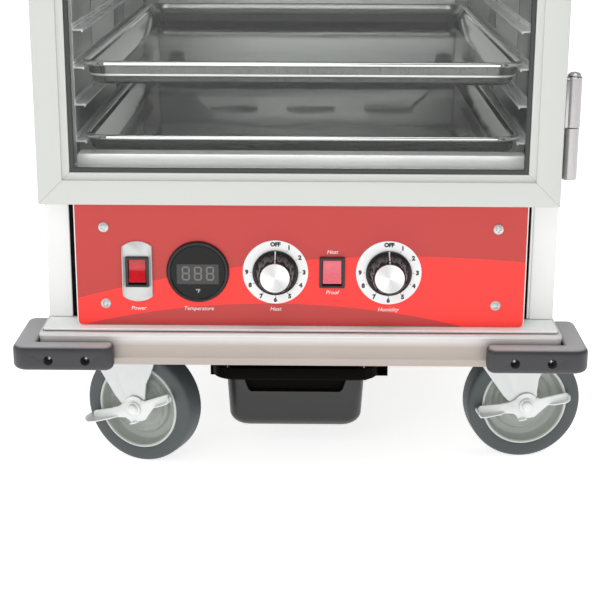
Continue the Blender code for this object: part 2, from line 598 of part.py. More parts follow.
def air_heater():
    """A tubular element bent into four runs."""
    curve = bpy.data.curves.new("air_heater", "CURVE")
    curve.dimensions = "3D"
    curve.bevel_depth = HEATER_R
    curve.bevel_resolution = 1
    curve.use_fill_caps = True
    runs, pitch, half = 4, 0.030, 0.070
    points = []
    for run in range(runs):
        sign = 1 if run % 2 == 0 else -1
        x = (run - (runs - 1) / 2) * pitch
        points.append((x, -sign * (half - pitch / 2), 0))
        points.append((x, sign * (half - pitch / 2), 0))
        if run < runs - 1:
            bend = arc((x + pitch / 2, 0), pitch / 2, 180, 0, 6)[1:-1]
            points += [(bx, sign * (half - pitch / 2 + by), 0) for bx, by in bend]
    spline = curve.splines.new("POLY")
    spline.points.add(len(points) - 1)
    for point, place in zip(spline.points, points):
        point.co = (*place, 1)
    heater = link(bpy.data.objects.new("air_heater", curve), STEEL)
    heater.location = (HEATER_X, HEATER_Y, HEATER_Z)


def water_pan():
    high = WATER_PAN_H
    section = [(0.006, 0.0), (0.002, high - 0.002), (0.0, high - 0.002), (0.0, high),
               (0.0035, high), (0.0075, 0.0015)]
    tray("water_pan", WATER_HALF_W, WATER_HALF_D, 0.015, section,
         (WATER_X, WATER_Y, WATER_BOTTOM), STEEL)


def power_inlet():
    """Cord gland low on the back panel."""
    profile = [(0, 0.016), (0.008, 0.016), (0.010, 0.008), (0.015, 0.007), (0.015, GAP), (0, GAP)]
    turned("power_inlet", profile, (INLET_X, BODY_REAR, INLET_Z), 16, BLACK, None, (-math.pi / 2, 0, 0))


# --- drip pan -----------------------------------------------------------------------------
def drip_pan_holder():
    """Sheet channel under the deck whose inward lips carry the drip pan's rim."""
    top, low, t = BASE_TOP - BASE_SHEET - GAP, DRIP_STEP - GAP - 0.002, 0.002
    w, lip = HOLDER_HALF_W, HOLDER_HALF_W - HOLDER_LIP
    half = [(w, top), (w, low), (lip, low), (lip, low + t), (w - t, low + t), (w - t, top - t)]
    outline = half + [(-x, z) for x, z in reversed(half)]
    holder = plate("drip_pan_holder", outline, -HOLDER_REAR, -HOLDER_FRONT, BLACK)
    holder.location = (HOLDER_X, 0, 0)
    holder.rotation_euler = FACE_FRONT


def drip_pan():
    step, wall = DRIP_RIM_HALF_W - DRIP_TUB_HALF_W, DRIP_WALL
    rim = DRIP_STEP - DRIP_BOTTOM
    high = DRIP_TOP - DRIP_BOTTOM
    section = [(step + 0.013, 0.0), (step + 0.006, 0.003), (step + 0.001, 0.010), (step, rim),
               (0.001, rim), (0.0, rim + 0.001), (0.0, high), (wall, high), (wall, rim + wall),
               (step + wall, rim + wall - 0.0005), (step + wall + 0.001, 0.010),
               (step + wall + 0.006, wall + 0.002), (step + wall + 0.013, wall)]
    middle = (DRIP_FRONT + DRIP_REAR) / 2
    tray("drip_pan", DRIP_RIM_HALF_W, (DRIP_REAR - DRIP_FRONT) / 2, 0.022, section,
         (DRIP_X, middle, DRIP_BOTTOM), BLACK)


# --- door ---------------------------------------------------------------------------------
def ring(name, outer, width, front, back, mat, parent):
    """A rectangular ring: outer is (left, bottom, right, top)."""
    left, bottom, right, top = outer
    obj = box(name, (left, front, bottom), (right, back, top), mat, parent)
    return cut(obj, box(name + "_inside", (left + width, front - OVERRUN, bottom + width),
                        (right - width, back + OVERRUN, top - width), None, parent))


def shrink(outer, inset):
    left, bottom, right, top = outer
    return (left + inset, bottom + inset, right - inset, top - inset)


def handle(parent):
    """A bent strap with two feet on the door's free stile."""
    foot, t, front = DOOR_FRONT - GAP, HANDLE_T, HANDLE_FRONT
    arm = HANDLE_HIGH - HANDLE_FOOT
    outside = [(foot - t, HANDLE_HIGH), (foot - t, arm), (front + 0.006, arm), (front, arm - 0.006)]
    inside = [(front + t, arm - 0.008), (front + 0.008, arm - t), (foot, arm - t), (foot, HANDLE_HIGH)]

    def mirrored(points):
        return [(y, HANDLE_LOW + HANDLE_HIGH - z) for y, z in reversed(points)]

    outline = outside + mirrored(outside) + mirrored(inside) + inside
    strap = plate("door_handle", outline, -HANDLE_W / 2, HANDLE_W / 2, STEEL, parent)
    strap.location = (HANDLE_X, 0, 0)
    strap.rotation_euler = SIDE_OUTLINE.to_euler()


def hinge(level, bottom, door_axis):
    """Post leaf with the pin, and the door leaf that turns on it."""
    place = (HINGE_X, HINGE_Y, bottom)
    head, split, top = 0.0050, HINGE_SPLIT, HINGE_LEN
    profile = [(0, top + head), (0.0030, top + 0.0042), (head, top + 0.0025), (head, top + GAP),
               (PIN_R, top + GAP), (PIN_R, split), (KNUCKLE_R, split), (KNUCKLE_R, 0), (0, 0)]
    fixed = turned("hinge_post_leaf_" + level, profile, place, 16, STEEL)
    leaf = box("post_leaf_" + level, (BODY_HALF_W + GAP, HINGE_Y, bottom),
               (BODY_HALF_W + 0.0033, POST_FRONT + POST_D, bottom + split))
    join(fixed, leaf)
    low, bore = split + GAP, PIN_R + GAP
    section = [(DOOR_KNUCKLE_R, top), (DOOR_KNUCKLE_R, low), (bore, low), (bore, top)]
    moving = turned("hinge_door_leaf_" + level, section, place, 16, STEEL, door_axis, ring=True)
    moving.matrix_parent_inverse = Matrix.Translation(door_axis.location).inverted()
    flap = box("door_leaf_" + level, (DOOR_RIGHT + GAP, HINGE_Y - 0.013, bottom + low),
               (DOOR_RIGHT + 0.0035, HINGE_Y + 0.013, bottom + top), None, door_axis)
    flap.matrix_parent_inverse = moving.matrix_parent_inverse
    join(moving, flap)


def door():
    axis = axis_empty("door_axis", (HINGE_X, HINGE_Y, DOOR_BOTTOM))
    outer = (DOOR_LEFT, DOOR_BOTTOM, DOOR_RIGHT, DOOR_TOP)
    opening = shrink(outer, DOOR_RAIL)
    frame = ring("door_frame", outer, DOOR_RAIL, DOOR_FRONT, DOOR_BACK, ENAMEL, axis)
    left, bottom, right, top = shrink(opening, -DOOR_STEP)
    cut(frame, box("frame_step", (left, DOOR_FRONT - OVERRUN, bottom),
                   (right, DOOR_FRONT + DOOR_STEP_D, top), None, axis))
    gasket_front = DOOR_FRONT + DOOR_STEP_D + 0.0005
    pane_front = gasket_front + GASKET_T + GAP
    ring("pane_gasket", shrink(opening, GAP), GASKET_W, gasket_front,
         gasket_front + GASKET_T, RUBBER, axis)
    left, bottom, right, top = shrink(opening, GAP)
    box("door_pane", (left, pane_front, bottom), (right, pane_front + PANE_T, top), CLEAR, axis)
    ring("door_seal", shrink(outer, SEAL_INSET), SEAL_W, DOOR_BACK + GAP, POST_FRONT - GAP, RUBBER, axis)
    handle(axis)
    inverse = Matrix.Translation(axis.location).inverted()
    for piece in axis.children:
        piece.matrix_parent_inverse = inverse
    for level, bottom in HINGE_BOTTOMS.items():
        hinge(level, bottom, axis)


def main():
    base_frame()
    for name, sx, sy in (("front_left", -1, -1), ("front_right", 1, -1),
                         ("rear_left", -1, 1), ("rear_right", 1, 1)):
        bumper("bumper_" + name, sx, sy)
    casters()
    body_panels()
    slide_rack("left", -1)
    slide_rack("right", 1)
    air_duct()
    for name, level in PAN_LEVELS.items():
        sheet_pan("sheet_pan_" + name, level)
    module_deck()
    control_panel()
    switch_guard()
    rocker_switch("power", POWER_X, POWER_SWITCH, GUARD_T + 2 * GAP, RED_LENS)
    rocker_switch("mode", MODE_X, MODE_SWITCH, GAP, RED_LENS)
    display_unit()
    dial("heat", HEAT_X)
    dial("humidity", HUMIDITY_X)
    blower()
    air_heater()
    water_pan()
    power_inlet()
    drip_pan_holder()
    drip_pan()
    door()


main()
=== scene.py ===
"""Looks of the half-size proofing cabinet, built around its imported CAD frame.

Metres, +Z up, the same frame as the CAD. The door is on the -Y side, its hinges on +X.
"""

import json
import math

import bmesh
import bpy
from mathutils import Matrix, Vector


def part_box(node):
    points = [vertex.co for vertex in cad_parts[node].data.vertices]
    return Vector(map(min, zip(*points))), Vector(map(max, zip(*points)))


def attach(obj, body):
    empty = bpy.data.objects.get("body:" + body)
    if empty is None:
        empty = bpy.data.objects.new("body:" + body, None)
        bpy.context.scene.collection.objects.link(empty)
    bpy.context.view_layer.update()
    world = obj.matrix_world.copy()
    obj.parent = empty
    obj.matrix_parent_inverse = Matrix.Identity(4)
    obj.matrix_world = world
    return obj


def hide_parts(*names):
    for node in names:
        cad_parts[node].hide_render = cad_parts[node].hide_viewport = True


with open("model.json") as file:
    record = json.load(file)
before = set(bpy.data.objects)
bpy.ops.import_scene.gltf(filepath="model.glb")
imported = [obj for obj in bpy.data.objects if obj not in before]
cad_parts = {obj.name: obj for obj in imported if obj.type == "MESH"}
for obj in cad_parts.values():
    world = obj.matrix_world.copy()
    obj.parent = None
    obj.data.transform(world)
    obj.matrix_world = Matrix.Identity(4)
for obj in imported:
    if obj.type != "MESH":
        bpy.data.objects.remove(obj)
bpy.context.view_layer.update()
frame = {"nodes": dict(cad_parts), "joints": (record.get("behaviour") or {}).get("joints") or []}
NODES = frame["nodes"]
JOINTS = {joint["name"]: joint for joint in frame["joints"]}

FACE_FRONT = Matrix.Rotation(math.pi / 2, 4, "X")     # own +Z points out of the door side
FACE_BACK = Matrix.Rotation(-math.pi / 2, 4, "X")
FACE_RIGHT = Matrix.Rotation(math.pi / 2, 4, "Y")
FACE_LEFT = Matrix.Rotation(-math.pi / 2, 4, "Y")
SHARP = math.radians(35)
BODY_HALF_W = 0.265     # the cabinet body's outer sides
CORNERS = ("front_left", "front_right", "rear_left", "rear_right")


# --- camera, light and floor --------------------------------------------------------------
CAMERA_PLACE, LENS = (0.0153, -1.814, 0.634), 88.41
CAMERA_DOWN, CAMERA_TURN, CAMERA_ROLL = 16.52, 0.62, 0.2
FLOOR_HALF = 30.0


def look():
    camera = bpy.data.objects.new("camera", bpy.data.cameras.new("camera"))
    bpy.context.scene.collection.objects.link(camera)
    camera.data.lens = LENS
    camera.data.sensor_width = 36.0
    camera.location = CAMERA_PLACE
    angles = ((CAMERA_TURN, "Z"), (90 - CAMERA_DOWN, "X"), (CAMERA_ROLL, "Z"))
    turn, tip, roll = (Matrix.Rotation(math.radians(angle), 3, axis) for angle, axis in angles)
    camera.rotation_euler = (turn @ tip @ roll).to_euler()
    bpy.context.scene.camera = camera
    bpy.context.scene.view_settings.view_transform = "Standard"


def area_light(name, place, target, size, power, glints=True):
    light = bpy.data.lights.new(name, "AREA")
    light.shape = "RECTANGLE"
    light.size, light.size_y = size
    light.energy = power
    obj = bpy.data.objects.new(name, light)
    obj.location = place
    obj.rotation_euler = (Vector(target) - Vector(place)).to_track_quat("-Z", "Y").to_euler()
    obj.visible_glossy = glints
    bpy.context.scene.collection.objects.link(obj)


def studio():
    world = bpy.data.worlds.new("studio")
    world.use_nodes = True
    tree = world.node_tree
    way = add_node(tree, "ShaderNodeTexCoord").outputs["Generated"]
    parts = add_node(tree, "ShaderNodeSeparateXYZ", {"Vector": way})
    room = add_node(tree, "ShaderNodeMapRange", {"Value": parts.outputs["Y"], "From Min": -0.95,
        "From Max": -0.35, "To Min": 0.16, "To Max": 0.52})
    tree.links.new(room.outputs["Result"], tree.nodes["Background"].inputs["Strength"])
    tree.nodes["Background"].inputs["Color"].default_value = (1.0, 1.0, 1.0, 1.0)
    bpy.context.scene.world = world
    area_light("front_light", (-0.9, -3.0, 1.9), (0.0, -0.3, 0.35), (2.2, 1.6), 19, glints=False)
    area_light("low_front_light", (0.3, -2.6, 0.47), (0.0, 0.0, 0.42), (2.4, 0.8), 12, glints=False)
    area_light("left_light", (-2.4, -0.8, 1.6), (0.0, 0.0, 0.4), (1.4, 1.8), 9)
    area_light("top_light", (0.2, -0.6, 2.8), (0.0, -0.2, 0.4), (2.0, 2.0), 20)
    mesh = bpy.data.meshes.new("floor")
    mesh.from_pydata([(-FLOOR_HALF, -FLOOR_HALF, 0), (FLOOR_HALF, -FLOOR_HALF, 0),
        (FLOOR_HALF, FLOOR_HALF, 0), (-FLOOR_HALF, FLOOR_HALF, 0)], [], [(0, 1, 2, 3)])
    floor = bpy.data.objects.new("floor", mesh)
    mat = bpy.data.materials.new("pale_floor")
    mat.use_nodes = True
    shader = mat.node_tree.nodes["Principled BSDF"]
    shader.inputs["Base Color"].default_value = (0.93, 0.93, 0.93, 1.0)
    shader.inputs["Roughness"].default_value = 0.8
    shader.inputs["Emission Color"].default_value = (1.0, 1.0, 1.0, 1.0)
    shader.inputs["Emission Strength"].default_value = 0.72
    mesh.materials.append(mat)
    bpy.context.scene.collection.objects.link(floor)


# --- materials ----------------------------------------------------------------------------
def add_node(tree, kind, inputs=(), **settings):
    node = tree.nodes.new(kind)
    for name, value in settings.items():
        setattr(node, name, value)
    for name, value in dict(inputs).items():
        socket = node.inputs[name]
        if isinstance(value, bpy.types.NodeSocket):
            tree.links.new(value, socket)
        else:
            socket.default_value = value
    return node


def math_node(tree, operation, *values):
    return add_node(tree, "ShaderNodeMath", dict(enumerate(values)), operation=operation)


def vector_node(tree, operation, *values):
    return add_node(tree, "ShaderNodeVectorMath", dict(enumerate(values)), operation=operation)


def finish_of(name, color, rough, grain, metallic=0.0, detail=3.0, tint=0.05, rough_spread=0.06, bump=0.05,
        bump_depth=0.0001, wear=9.0, **shader_inputs):
    """Principled material whose colour, roughness and bump vary with noise of the given grain,
    in cycles per metre along each axis. Wear is a coarser, cloudy change of roughness and colour.
    The colour may be a function that draws it over the object's own coordinates."""
    mat = bpy.data.materials.new(name)
    mat.use_nodes = True
    tree = mat.node_tree
    shader = tree.nodes["Principled BSDF"]
    place = add_node(tree, "ShaderNodeTexCoord").outputs["Object"]
    cycles = grain if isinstance(grain, tuple) else (grain,) * 3
    fine_place = add_node(tree, "ShaderNodeMapping", {"Vector": place, "Scale": cycles})
    fine = add_node(tree, "ShaderNodeTexNoise", {"Vector": fine_place.outputs["Vector"], "Scale": 1.0,
        "Detail": detail, "Roughness": 0.55}).outputs["Fac"]
    cloud = add_node(tree, "ShaderNodeTexNoise", {"Vector": place, "Scale": wear, "Detail": 3.0,
        "Roughness": 0.6}).outputs["Fac"]
    mix = math_node(tree, "ADD", fine, cloud).outputs[0]
    shade = add_node(tree, "ShaderNodeMapRange", {"Value": mix, "From Min": 0.6, "From Max": 1.4,
        "To Min": 1.0 - tint, "To Max": 1.0 + tint})
    base = color(tree, place) if callable(color) else color
    paint = vector_node(tree, "MULTIPLY", base, shade.outputs["Result"])
    gloss = add_node(tree, "ShaderNodeMapRange", {"Value": mix, "From Min": 0.6, "From Max": 1.4,
        "To Min": max(0.01, rough - rough_spread), "To Max": rough + rough_spread})
    relief = add_node(tree, "ShaderNodeBump", {"Height": fine, "Strength": bump, "Distance": bump_depth})
    tree.links.new(paint.outputs[0], shader.inputs["Base Color"])
    tree.links.new(gloss.outputs["Result"], shader.inputs["Roughness"])
    tree.links.new(relief.outputs["Normal"], shader.inputs["Normal"])
    shader.inputs["Metallic"].default_value = metallic
    for key, value in shader_inputs.items():
        shader.inputs[key.replace("_", " ")].default_value = value
    return mat


ARC_X, ARC_TOP, ARC_R = 0.110, 0.2491, 1.27     # edge between the bright and the deep red
SWELL_X, SWELL_TOP, SWELL_R = -0.0285, 0.1982, 0.83     # deep red swell along the bottom edge
BRIGHT_RED, DEEP_RED = (0.95, 0.0225, 0.0145), (0.487, 0.028, 0.023)


def red_bands(tree, place):
    """Two reds parted by two plain circular arcs across the panel."""
    parts = add_node(tree, "ShaderNodeSeparateXYZ", {"Vector": place})
    flat = add_node(tree, "ShaderNodeCombineXYZ", {"X": parts.outputs["X"], "Z": parts.outputs["Z"]})

    def inside(x, top, radius):
        reach = vector_node(tree, "DISTANCE", flat.outputs["Vector"], (x, 0.0, top - radius))
        return math_node(tree, "LESS_THAN", reach.outputs["Value"], radius).outputs[0]

    above = math_node(tree, "SUBTRACT", 1.0, inside(ARC_X, ARC_TOP, ARC_R)).outputs[0]
    deep = math_node(tree, "MAXIMUM", above, inside(SWELL_X, SWELL_TOP, SWELL_R)).outputs[0]
    change = [d - b for d, b in zip(DEEP_RED, BRIGHT_RED)]
    return vector_node(tree, "MULTIPLY_ADD", deep, change, BRIGHT_RED).outputs["Vector"]


def tones_by_height(low, high, below, above):
    """One colour below a height, another above the next, blended between them."""
    def tones(tree, place):
        height = add_node(tree, "ShaderNodeSeparateXYZ", {"Vector": place}).outputs["Z"]
        share = add_node(tree, "ShaderNodeMapRange", {"Value": height, "From Min": low, "From Max": high})
        change = [a - b for a, b in zip(above, below)]
        return vector_node(tree, "MULTIPLY_ADD", share.outputs["Result"], change, below).outputs["Vector"]

    return tones


def pan_painted_shade(floor_z):
    """Bright sheet with painted shade: darker on the rear floor and the foot of the rear wall."""
    def tones(tree, place):
        parts = add_node(tree, "ShaderNodeSeparateXYZ", {"Vector": place}).outputs
        rear = add_node(tree, "ShaderNodeMapRange", {"Value": parts["Y"], "From Min": 0.11, "From Max": 0.16})
        under = add_node(tree, "ShaderNodeMapRange", {"Value": parts["Z"], "From Min": floor_z + 0.015,
            "From Max": floor_z + 0.011})
        dark = math_node(tree, "MULTIPLY", rear.outputs["Result"], under.outputs["Result"]).outputs[0]
        tone = add_node(tree, "ShaderNodeMapRange", {"Value": dark, "To Min": 0.80, "To Max": 0.26})
        return vector_node(tree, "MULTIPLY", tone.outputs["Result"], (1.0, 1.0, 0.99)).outputs["Vector"]

    return tones


def painted_turned_sheen(center_x, center_z):
    """Painted sheen: light and dark sectors round a turned face, standing in for the reflections brushed
    discs show.
    """
    def tones(tree, place):
        moved = vector_node(tree, "SUBTRACT", place, (center_x, 0.0, center_z)).outputs["Vector"]
        parts = add_node(tree, "ShaderNodeSeparateXYZ", {"Vector": moved})
        angle = math_node(tree, "ARCTAN2", parts.outputs["Z"], parts.outputs["X"]).outputs[0]
        twice = math_node(tree, "MULTIPLY_ADD", angle, 2.0, 0.6).outputs[0]
        wave = math_node(tree, "SINE", twice).outputs[0]
        tone = add_node(tree, "ShaderNodeMapRange", {"Value": wave, "From Min": -1.0, "To Min": 0.52,
            "To Max": 0.78}).outputs["Result"]
        return vector_node(tree, "MULTIPLY", tone, (1.0, 1.0, 1.0)).outputs["Vector"]

    return tones


def glass():
    mat = bpy.data.materials.new("clear_pane")
    mat.use_nodes = True
    tree = mat.node_tree
    shader = tree.nodes["Principled BSDF"]
    place = add_node(tree, "ShaderNodeTexCoord").outputs["Object"]
    smear = add_node(tree, "ShaderNodeTexNoise", {"Vector": place, "Scale": 14.0, "Detail": 4.0})
    haze = add_node(tree, "ShaderNodeMapRange", {"Value": smear.outputs["Fac"], "From Min": 0.35,
        "From Max": 0.75, "To Min": 0.0, "To Max": 0.03})
    tree.links.new(haze.outputs["Result"], shader.inputs["Roughness"])
    shader.inputs["Base Color"].default_value = (0.97, 0.985, 0.975, 1.0)
    shader.inputs["Transmission Weight"].default_value = 1.0
    shader.inputs["IOR"].default_value = 1.27
    return mat


ENAMEL = finish_of("door_enamel", (0.545, 0.558, 0.53), 0.42, 900, tint=0.012, rough_spread=0.05, bump=0.08,
    Coat_Weight=0.15)
WHITE = finish_of("white_powder_coat", (0.81, 0.81, 0.80), 0.45, 1100, tint=0.012, bump=0.12)
# painted highlight: the base's rounded top lip is a paler copy of the base metal, for the light it catches
LIT_LIP_METAL = finish_of("base_lip", (0.73, 0.71, 0.70), 0.42, (6, 40, 1400), metallic=0.25, bump=0.08,
    wear=16.0)
# painted highlight: the base face is paler in a band just under the lip, from z 0.159 to 0.166 upwards
BASE_METAL = finish_of("brushed_base", tones_by_height(0.1590, 0.1660, (0.424, 0.373, 0.337),
    (0.62, 0.60, 0.585)), 0.44, (6, 40, 1400), metallic=0.35, tint=0.07, rough_spread=0.07, bump=0.10,
    wear=16.0)
DECK_METAL = finish_of("deck_sheet", (0.92, 0.95, 0.93), 0.60, (6, 40, 700), metallic=0.1, bump=0.06,
    wear=14.0)
# painted shade: near-black sheet for the groove between the lip and the deck
GROOVE_SHADE = finish_of("base_groove", (0.09, 0.08, 0.075), 0.60, (6, 40, 700), metallic=0.1, tint=0.08,
    bump=0.06, wear=14.0)
SIDE_METAL = finish_of("satin_sheet", (0.52, 0.52, 0.515), 0.34, (500, 500, 9), metallic=0.85, bump=0.06,
    wear=5.0)
# painted light: this sheet is far paler below z 0.43 than above, for light the upper pan keeps off the duct's
# lower part
INNER_METAL_PAINTED_LIGHT = finish_of("inner_sheet", tones_by_height(0.43, 0.47, (0.93, 0.945, 0.93), (0.50, 0.52, 0.51)),
    0.36, (500, 9, 500), metallic=0.35, tint=0.06, rough_spread=0.08, wear=7.0)
SILL_METAL = finish_of("sill_metal", (0.93, 0.93, 0.93), 0.33, (8, 700, 700), metallic=0.6, bump=0.06)
SLIDE_METAL = finish_of("slide_metal", (0.90, 0.91, 0.905), 0.30, (700, 8, 700), metallic=0.4,
    rough_spread=0.08)
SHADED_SKIRT = finish_of("pan_outer_shaded", (0.014, 0.014, 0.014), 0.30, (7, 60, 900), metallic=0.6,
    tint=0.10, rough_spread=0.08, bump=0.12, bump_depth=0.0002)
# painted highlight: a pale strip along the upper pan's crease, against its dark skirt
CREASE_HIGHLIGHT = finish_of("pan_crease", (0.82, 0.82, 0.81), 0.30, (7, 60, 900), metallic=0.6)
# painted shade: the upper pan's outer wall, a much darker copy of the pan sheet
PAINTED_SHADE_SKIRT = finish_of("pan_outer_metal", (0.13, 0.13, 0.128), 0.20, (7, 60, 900), metallic=1.0, tint=0.10,
    rough_spread=0.08, bump=0.12, bump_depth=0.0002)
STEEL = finish_of("brushed_steel", (0.495, 0.486, 0.482), 0.30, (700, 700, 12), metallic=1.0, tint=0.08,
    rough_spread=0.08, bump=0.12)
SATIN_PLATE = finish_of("satin_guard", (0.60, 0.61, 0.60), 0.38, (30, 400, 900), metallic=0.45,
    rough_spread=0.05, bump=0.06)
CHROME = finish_of("screw_chrome", (0.80, 0.80, 0.79), 0.14, 300, metallic=1.0, tint=0.04, rough_spread=0.04)
ZINC = finish_of("zinc_plate", (0.63, 0.65, 0.645), 0.34, 90, metallic=0.45, detail=4.0, tint=0.04,
    rough_spread=0.10, bump=0.10, bump_depth=0.0002, wear=38.0)
LEVER_ZINC = finish_of("bright_zinc", (0.78, 0.80, 0.79), 0.46, 90, metallic=0.15, detail=4.0, tint=0.03,
    rough_spread=0.08, bump=0.10, bump_depth=0.0002, wear=38.0)
RED = finish_of("red_overlay", red_bands, 0.36, 700, tint=0.012, rough_spread=0.05, wear=6.0, Coat_Weight=0.1)
LENS_RED = finish_of("rocker_red", (0.52, 0.002, 0.010), 0.12, (160, 60, 160), tint=0.14, rough_spread=0.05,
    bump=0.10, bump_depth=0.0003, Coat_Weight=0.4, Subsurface_Weight=0.1, Subsurface_Scale=0.004)
LENS_PINK = finish_of("rocker_pink", (0.72, 0.140, 0.180), 0.30, 420, tint=0.16, rough_spread=0.08,
    bump=0.20, bump_depth=0.0002, Coat_Weight=0.3, Subsurface_Weight=0.25, Subsurface_Scale=0.004)
GLOSS_BLACK = finish_of("gloss_black", (0.012, 0.012, 0.013), 0.12, 60, tint=0.15, rough_spread=0.04,
    bump_depth=0.0002, Specular_IOR_Level=0.35)
LENS_BLACK = finish_of("display_black", (0.010, 0.010, 0.011), 0.07, 60, tint=0.15, rough_spread=0.03,
    bump=0.02, Specular_IOR_Level=0.2)
MATT_BLACK = finish_of("moulded_black", (0.020, 0.020, 0.021), 0.42, 1300, tint=0.12, rough_spread=0.08,
    bump=0.25)
WINDOW = finish_of("display_window", (0.029, 0.029, 0.028), 0.20, 40, tint=0.08, rough_spread=0.05, bump=0.02)
GHOST = finish_of("unlit_segment", (0.15, 0.146, 0.139), 0.35, 900, rough_spread=0.05)
DIAL_WHITE = finish_of("dial_white", (0.85, 0.85, 0.85), 0.36, 800, tint=0.01, rough_spread=0.05)
PRINT_BLACK = finish_of("print_black", (0.015, 0.015, 0.016), 0.45, 900, tint=0.10, rough_spread=0.05)
PRINT_WHITE = finish_of("print_white", (0.76, 0.75, 0.75), 0.45, 900, tint=0.02, rough_spread=0.05)
# painted light: the bumpers' top face, above z 0.1638, is far paler than their dark front, for light falling
# from above
RUBBER_PAINTED_LIGHT = finish_of("bumper_rubber", tones_by_height(0.1620, 0.1638, (0.034, 0.034, 0.038),
    (0.43, 0.43, 0.44)), 0.44, 500, detail=4.0, tint=0.10, rough_spread=0.08, bump=0.25, bump_depth=0.0002,
    wear=22.0)
GASKET = finish_of("gasket_rubber", (0.040, 0.043, 0.043), 0.55, 600, tint=0.10, rough_spread=0.08, bump=0.20)
TYRE = finish_of("tyre_rubber", (0.067, 0.078, 0.081), 0.52, 420, detail=4.0, tint=0.10, rough_spread=0.08,
    bump=0.25, bump_depth=0.0002, wear=18.0)
HUB = finish_of("hub_plastic", (0.375, 0.400, 0.368), 0.36, 260, tint=0.06, rough_spread=0.08, bump=0.12,
    bump_depth=0.0002, wear=30.0)
# painted highlight: a paler bead round the hub's raised rim
HUB_RIM_HIGHLIGHT = finish_of("hub_rim", (0.56, 0.575, 0.55), 0.34, 260, metallic=0.1, bump=0.08)
TUB = finish_of("drip_plastic", (0.0200, 0.0200, 0.0205), 0.34, 900, detail=4.0, tint=0.10,
    rough_spread=0.07, bump=0.18, wear=25.0)
# near-black with almost no gloss: the runner's own black, and painted shade on the drip pan's rim, in its
# mouth and in the gaps beside the panel
BLACK_AND_SHADE = finish_of("drip_rim_plastic", (0.003, 0.0025, 0.002), 0.55, 900, tint=0.10, rough_spread=0.07,
    bump=0.15, Specular_IOR_Level=0.05)
GLASS = glass()


# --- mesh helpers -------------------------------------------------------------------------
def skin(bm, loops, wrap=True, ring=False, caps=False):
    """Faces between successive loops of points. Wrap closes each loop, ring joins last to first."""
    rows = [[bm.verts.new(point) for point in loop] for loop in loops]
    pairs = list(zip(rows, rows[1:])) + ([(rows[-1], rows[0])] if ring else [])
    for low, high in pairs:
        for i in range(len(low) if wrap else len(low) - 1):
            j = (i + 1) % len(low)
            bm.faces.new((low[i], low[j], high[j], high[i]))
    if caps:
        bm.faces.new(list(reversed(rows[0])))
        bm.faces.new(rows[-1])


def lathe(bm, profile, matrix, steps=48, ring=False):
    """Turns (radius, height) points about the matrix's own Z axis."""
    rows = []
    for radius, height in profile:
        if radius < 1e-6:
            rows.append([bm.verts.new(matrix @ Vector((0, 0, height)))])
            continue
        turns = (2 * math.pi * i / steps for i in range(steps))
        rows.append([bm.verts.new(matrix @ Vector((radius * math.cos(a), radius * math.sin(a), height)))
            for a in turns])
    for low, high in list(zip(rows, rows[1:])) + ([(rows[-1], rows[0])] if ring else []):
        for i in range(steps):
            j = (i + 1) % steps
            corners = [low[i % len(low)], low[j % len(low)], high[j % len(high)], high[i % len(high)]]
            unique = list(dict.fromkeys(corners))
            if len(unique) > 2:
                bm.faces.new(unique)


def prism(bm, outline, low, high, matrix=Matrix()):
    """A flat outline in the matrix's XY plane, between two heights."""
    skin(bm, [[matrix @ Vector((x, y, h)) for x, y in outline] for h in (low, high)], caps=True)


def block(bm, low, high):
    (x0, y0, z0), (x1, y1, z1) = low, high
    prism(bm, [(x0, y0), (x1, y0), (x1, y1), (x0, y1)], z0, z1)


def arc(center, radius, start, end, steps):
    """Points on an arc, its ends included; angles in degrees."""
    turns = (math.radians(start + (end - start) * i / steps) for i in range(steps + 1))
    return [(center[0] + radius * math.cos(a), center[1] + radius * math.sin(a)) for a in turns]


def rounded(x0, y0, x1, y1, radius, steps=6):
    """Outline of a rectangle with round corners."""
    radius = max(radius, 0.0001)
    points = []
    for quarter, (x, y) in enumerate(((x1 - radius, y1 - radius), (x0 + radius, y1 - radius),
            (x0 + radius, y0 + radius), (x1 - radius, y0 + radius))):
        points += arc((x, y), radius, 90 * quarter, 90 * quarter + 90, steps)
    return points


def ngon(radius, sides, turn=0.0):
    return [(radius * math.cos(math.radians(turn) + 2 * math.pi * i / sides),
        radius * math.sin(math.radians(turn) + 2 * math.pi * i / sides)) for i in range(sides)]


def frame_ring(bm, left, bottom, right, top, section, back=0.0):
    """A picture frame: the section's (in from the outer edge, Y) points, mitred at four corners."""
    corners = ((left, bottom, 1, 1), (right, bottom, -1, 1), (right, top, -1, -1), (left, top, 1, -1))
    skin(bm, [[(x + sx * u, y + back, z + sz * u) for u, y in section] for x, z, sx, sz in corners],
        ring=True)


def front_at(x, y, z):
    """A matrix at that point whose Z axis comes out of the cabinet's front."""
    return Matrix.Translation((x, y, z)) @ FACE_FRONT


def shape(maker, *details, **settings):
    """A fresh mesh that holds one such shape."""
    bm = bmesh.new()
    maker(bm, *details, **settings)
    return bm


def piece(name, bm, mat, body, stands_for=(), bevel=0.0, segments=2, angle=30):
    bmesh.ops.recalc_face_normals(bm, faces=bm.faces)
    mesh = bpy.data.meshes.new(name)
    bm.to_mesh(mesh)
    bm.free()
    mesh.materials.append(mat)
    mesh.shade_smooth()
    obj = bpy.data.objects.new(name, mesh)
    bpy.context.scene.collection.objects.link(obj)
    if bevel:
        soften(obj, bevel, segments, angle)
    else:
        mesh.set_sharp_from_angle(angle=SHARP)
    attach(obj, body)
    if stands_for:
        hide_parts(*stands_for)
    return obj


def soften(obj, width, segments=2, angle=30):
    change = obj.modifiers.new("bevel", "BEVEL")
    change.width = width
    change.segments = segments
    change.limit_method = "ANGLE"
    change.angle_limit = math.radians(angle)
    change.harden_normals = True
    return obj


def carried(node, mat, bevel=0.0, segments=2):
    """A CAD node that stays, with a better material and softened edges."""
    obj = NODES[node]
    obj.data.materials.clear()
    obj.data.materials.append(mat)
    if bevel:
        weld = obj.modifiers.new("weld", "WELD")
        weld.merge_threshold = 0.00002
        soften(obj, bevel, segments)
    return obj


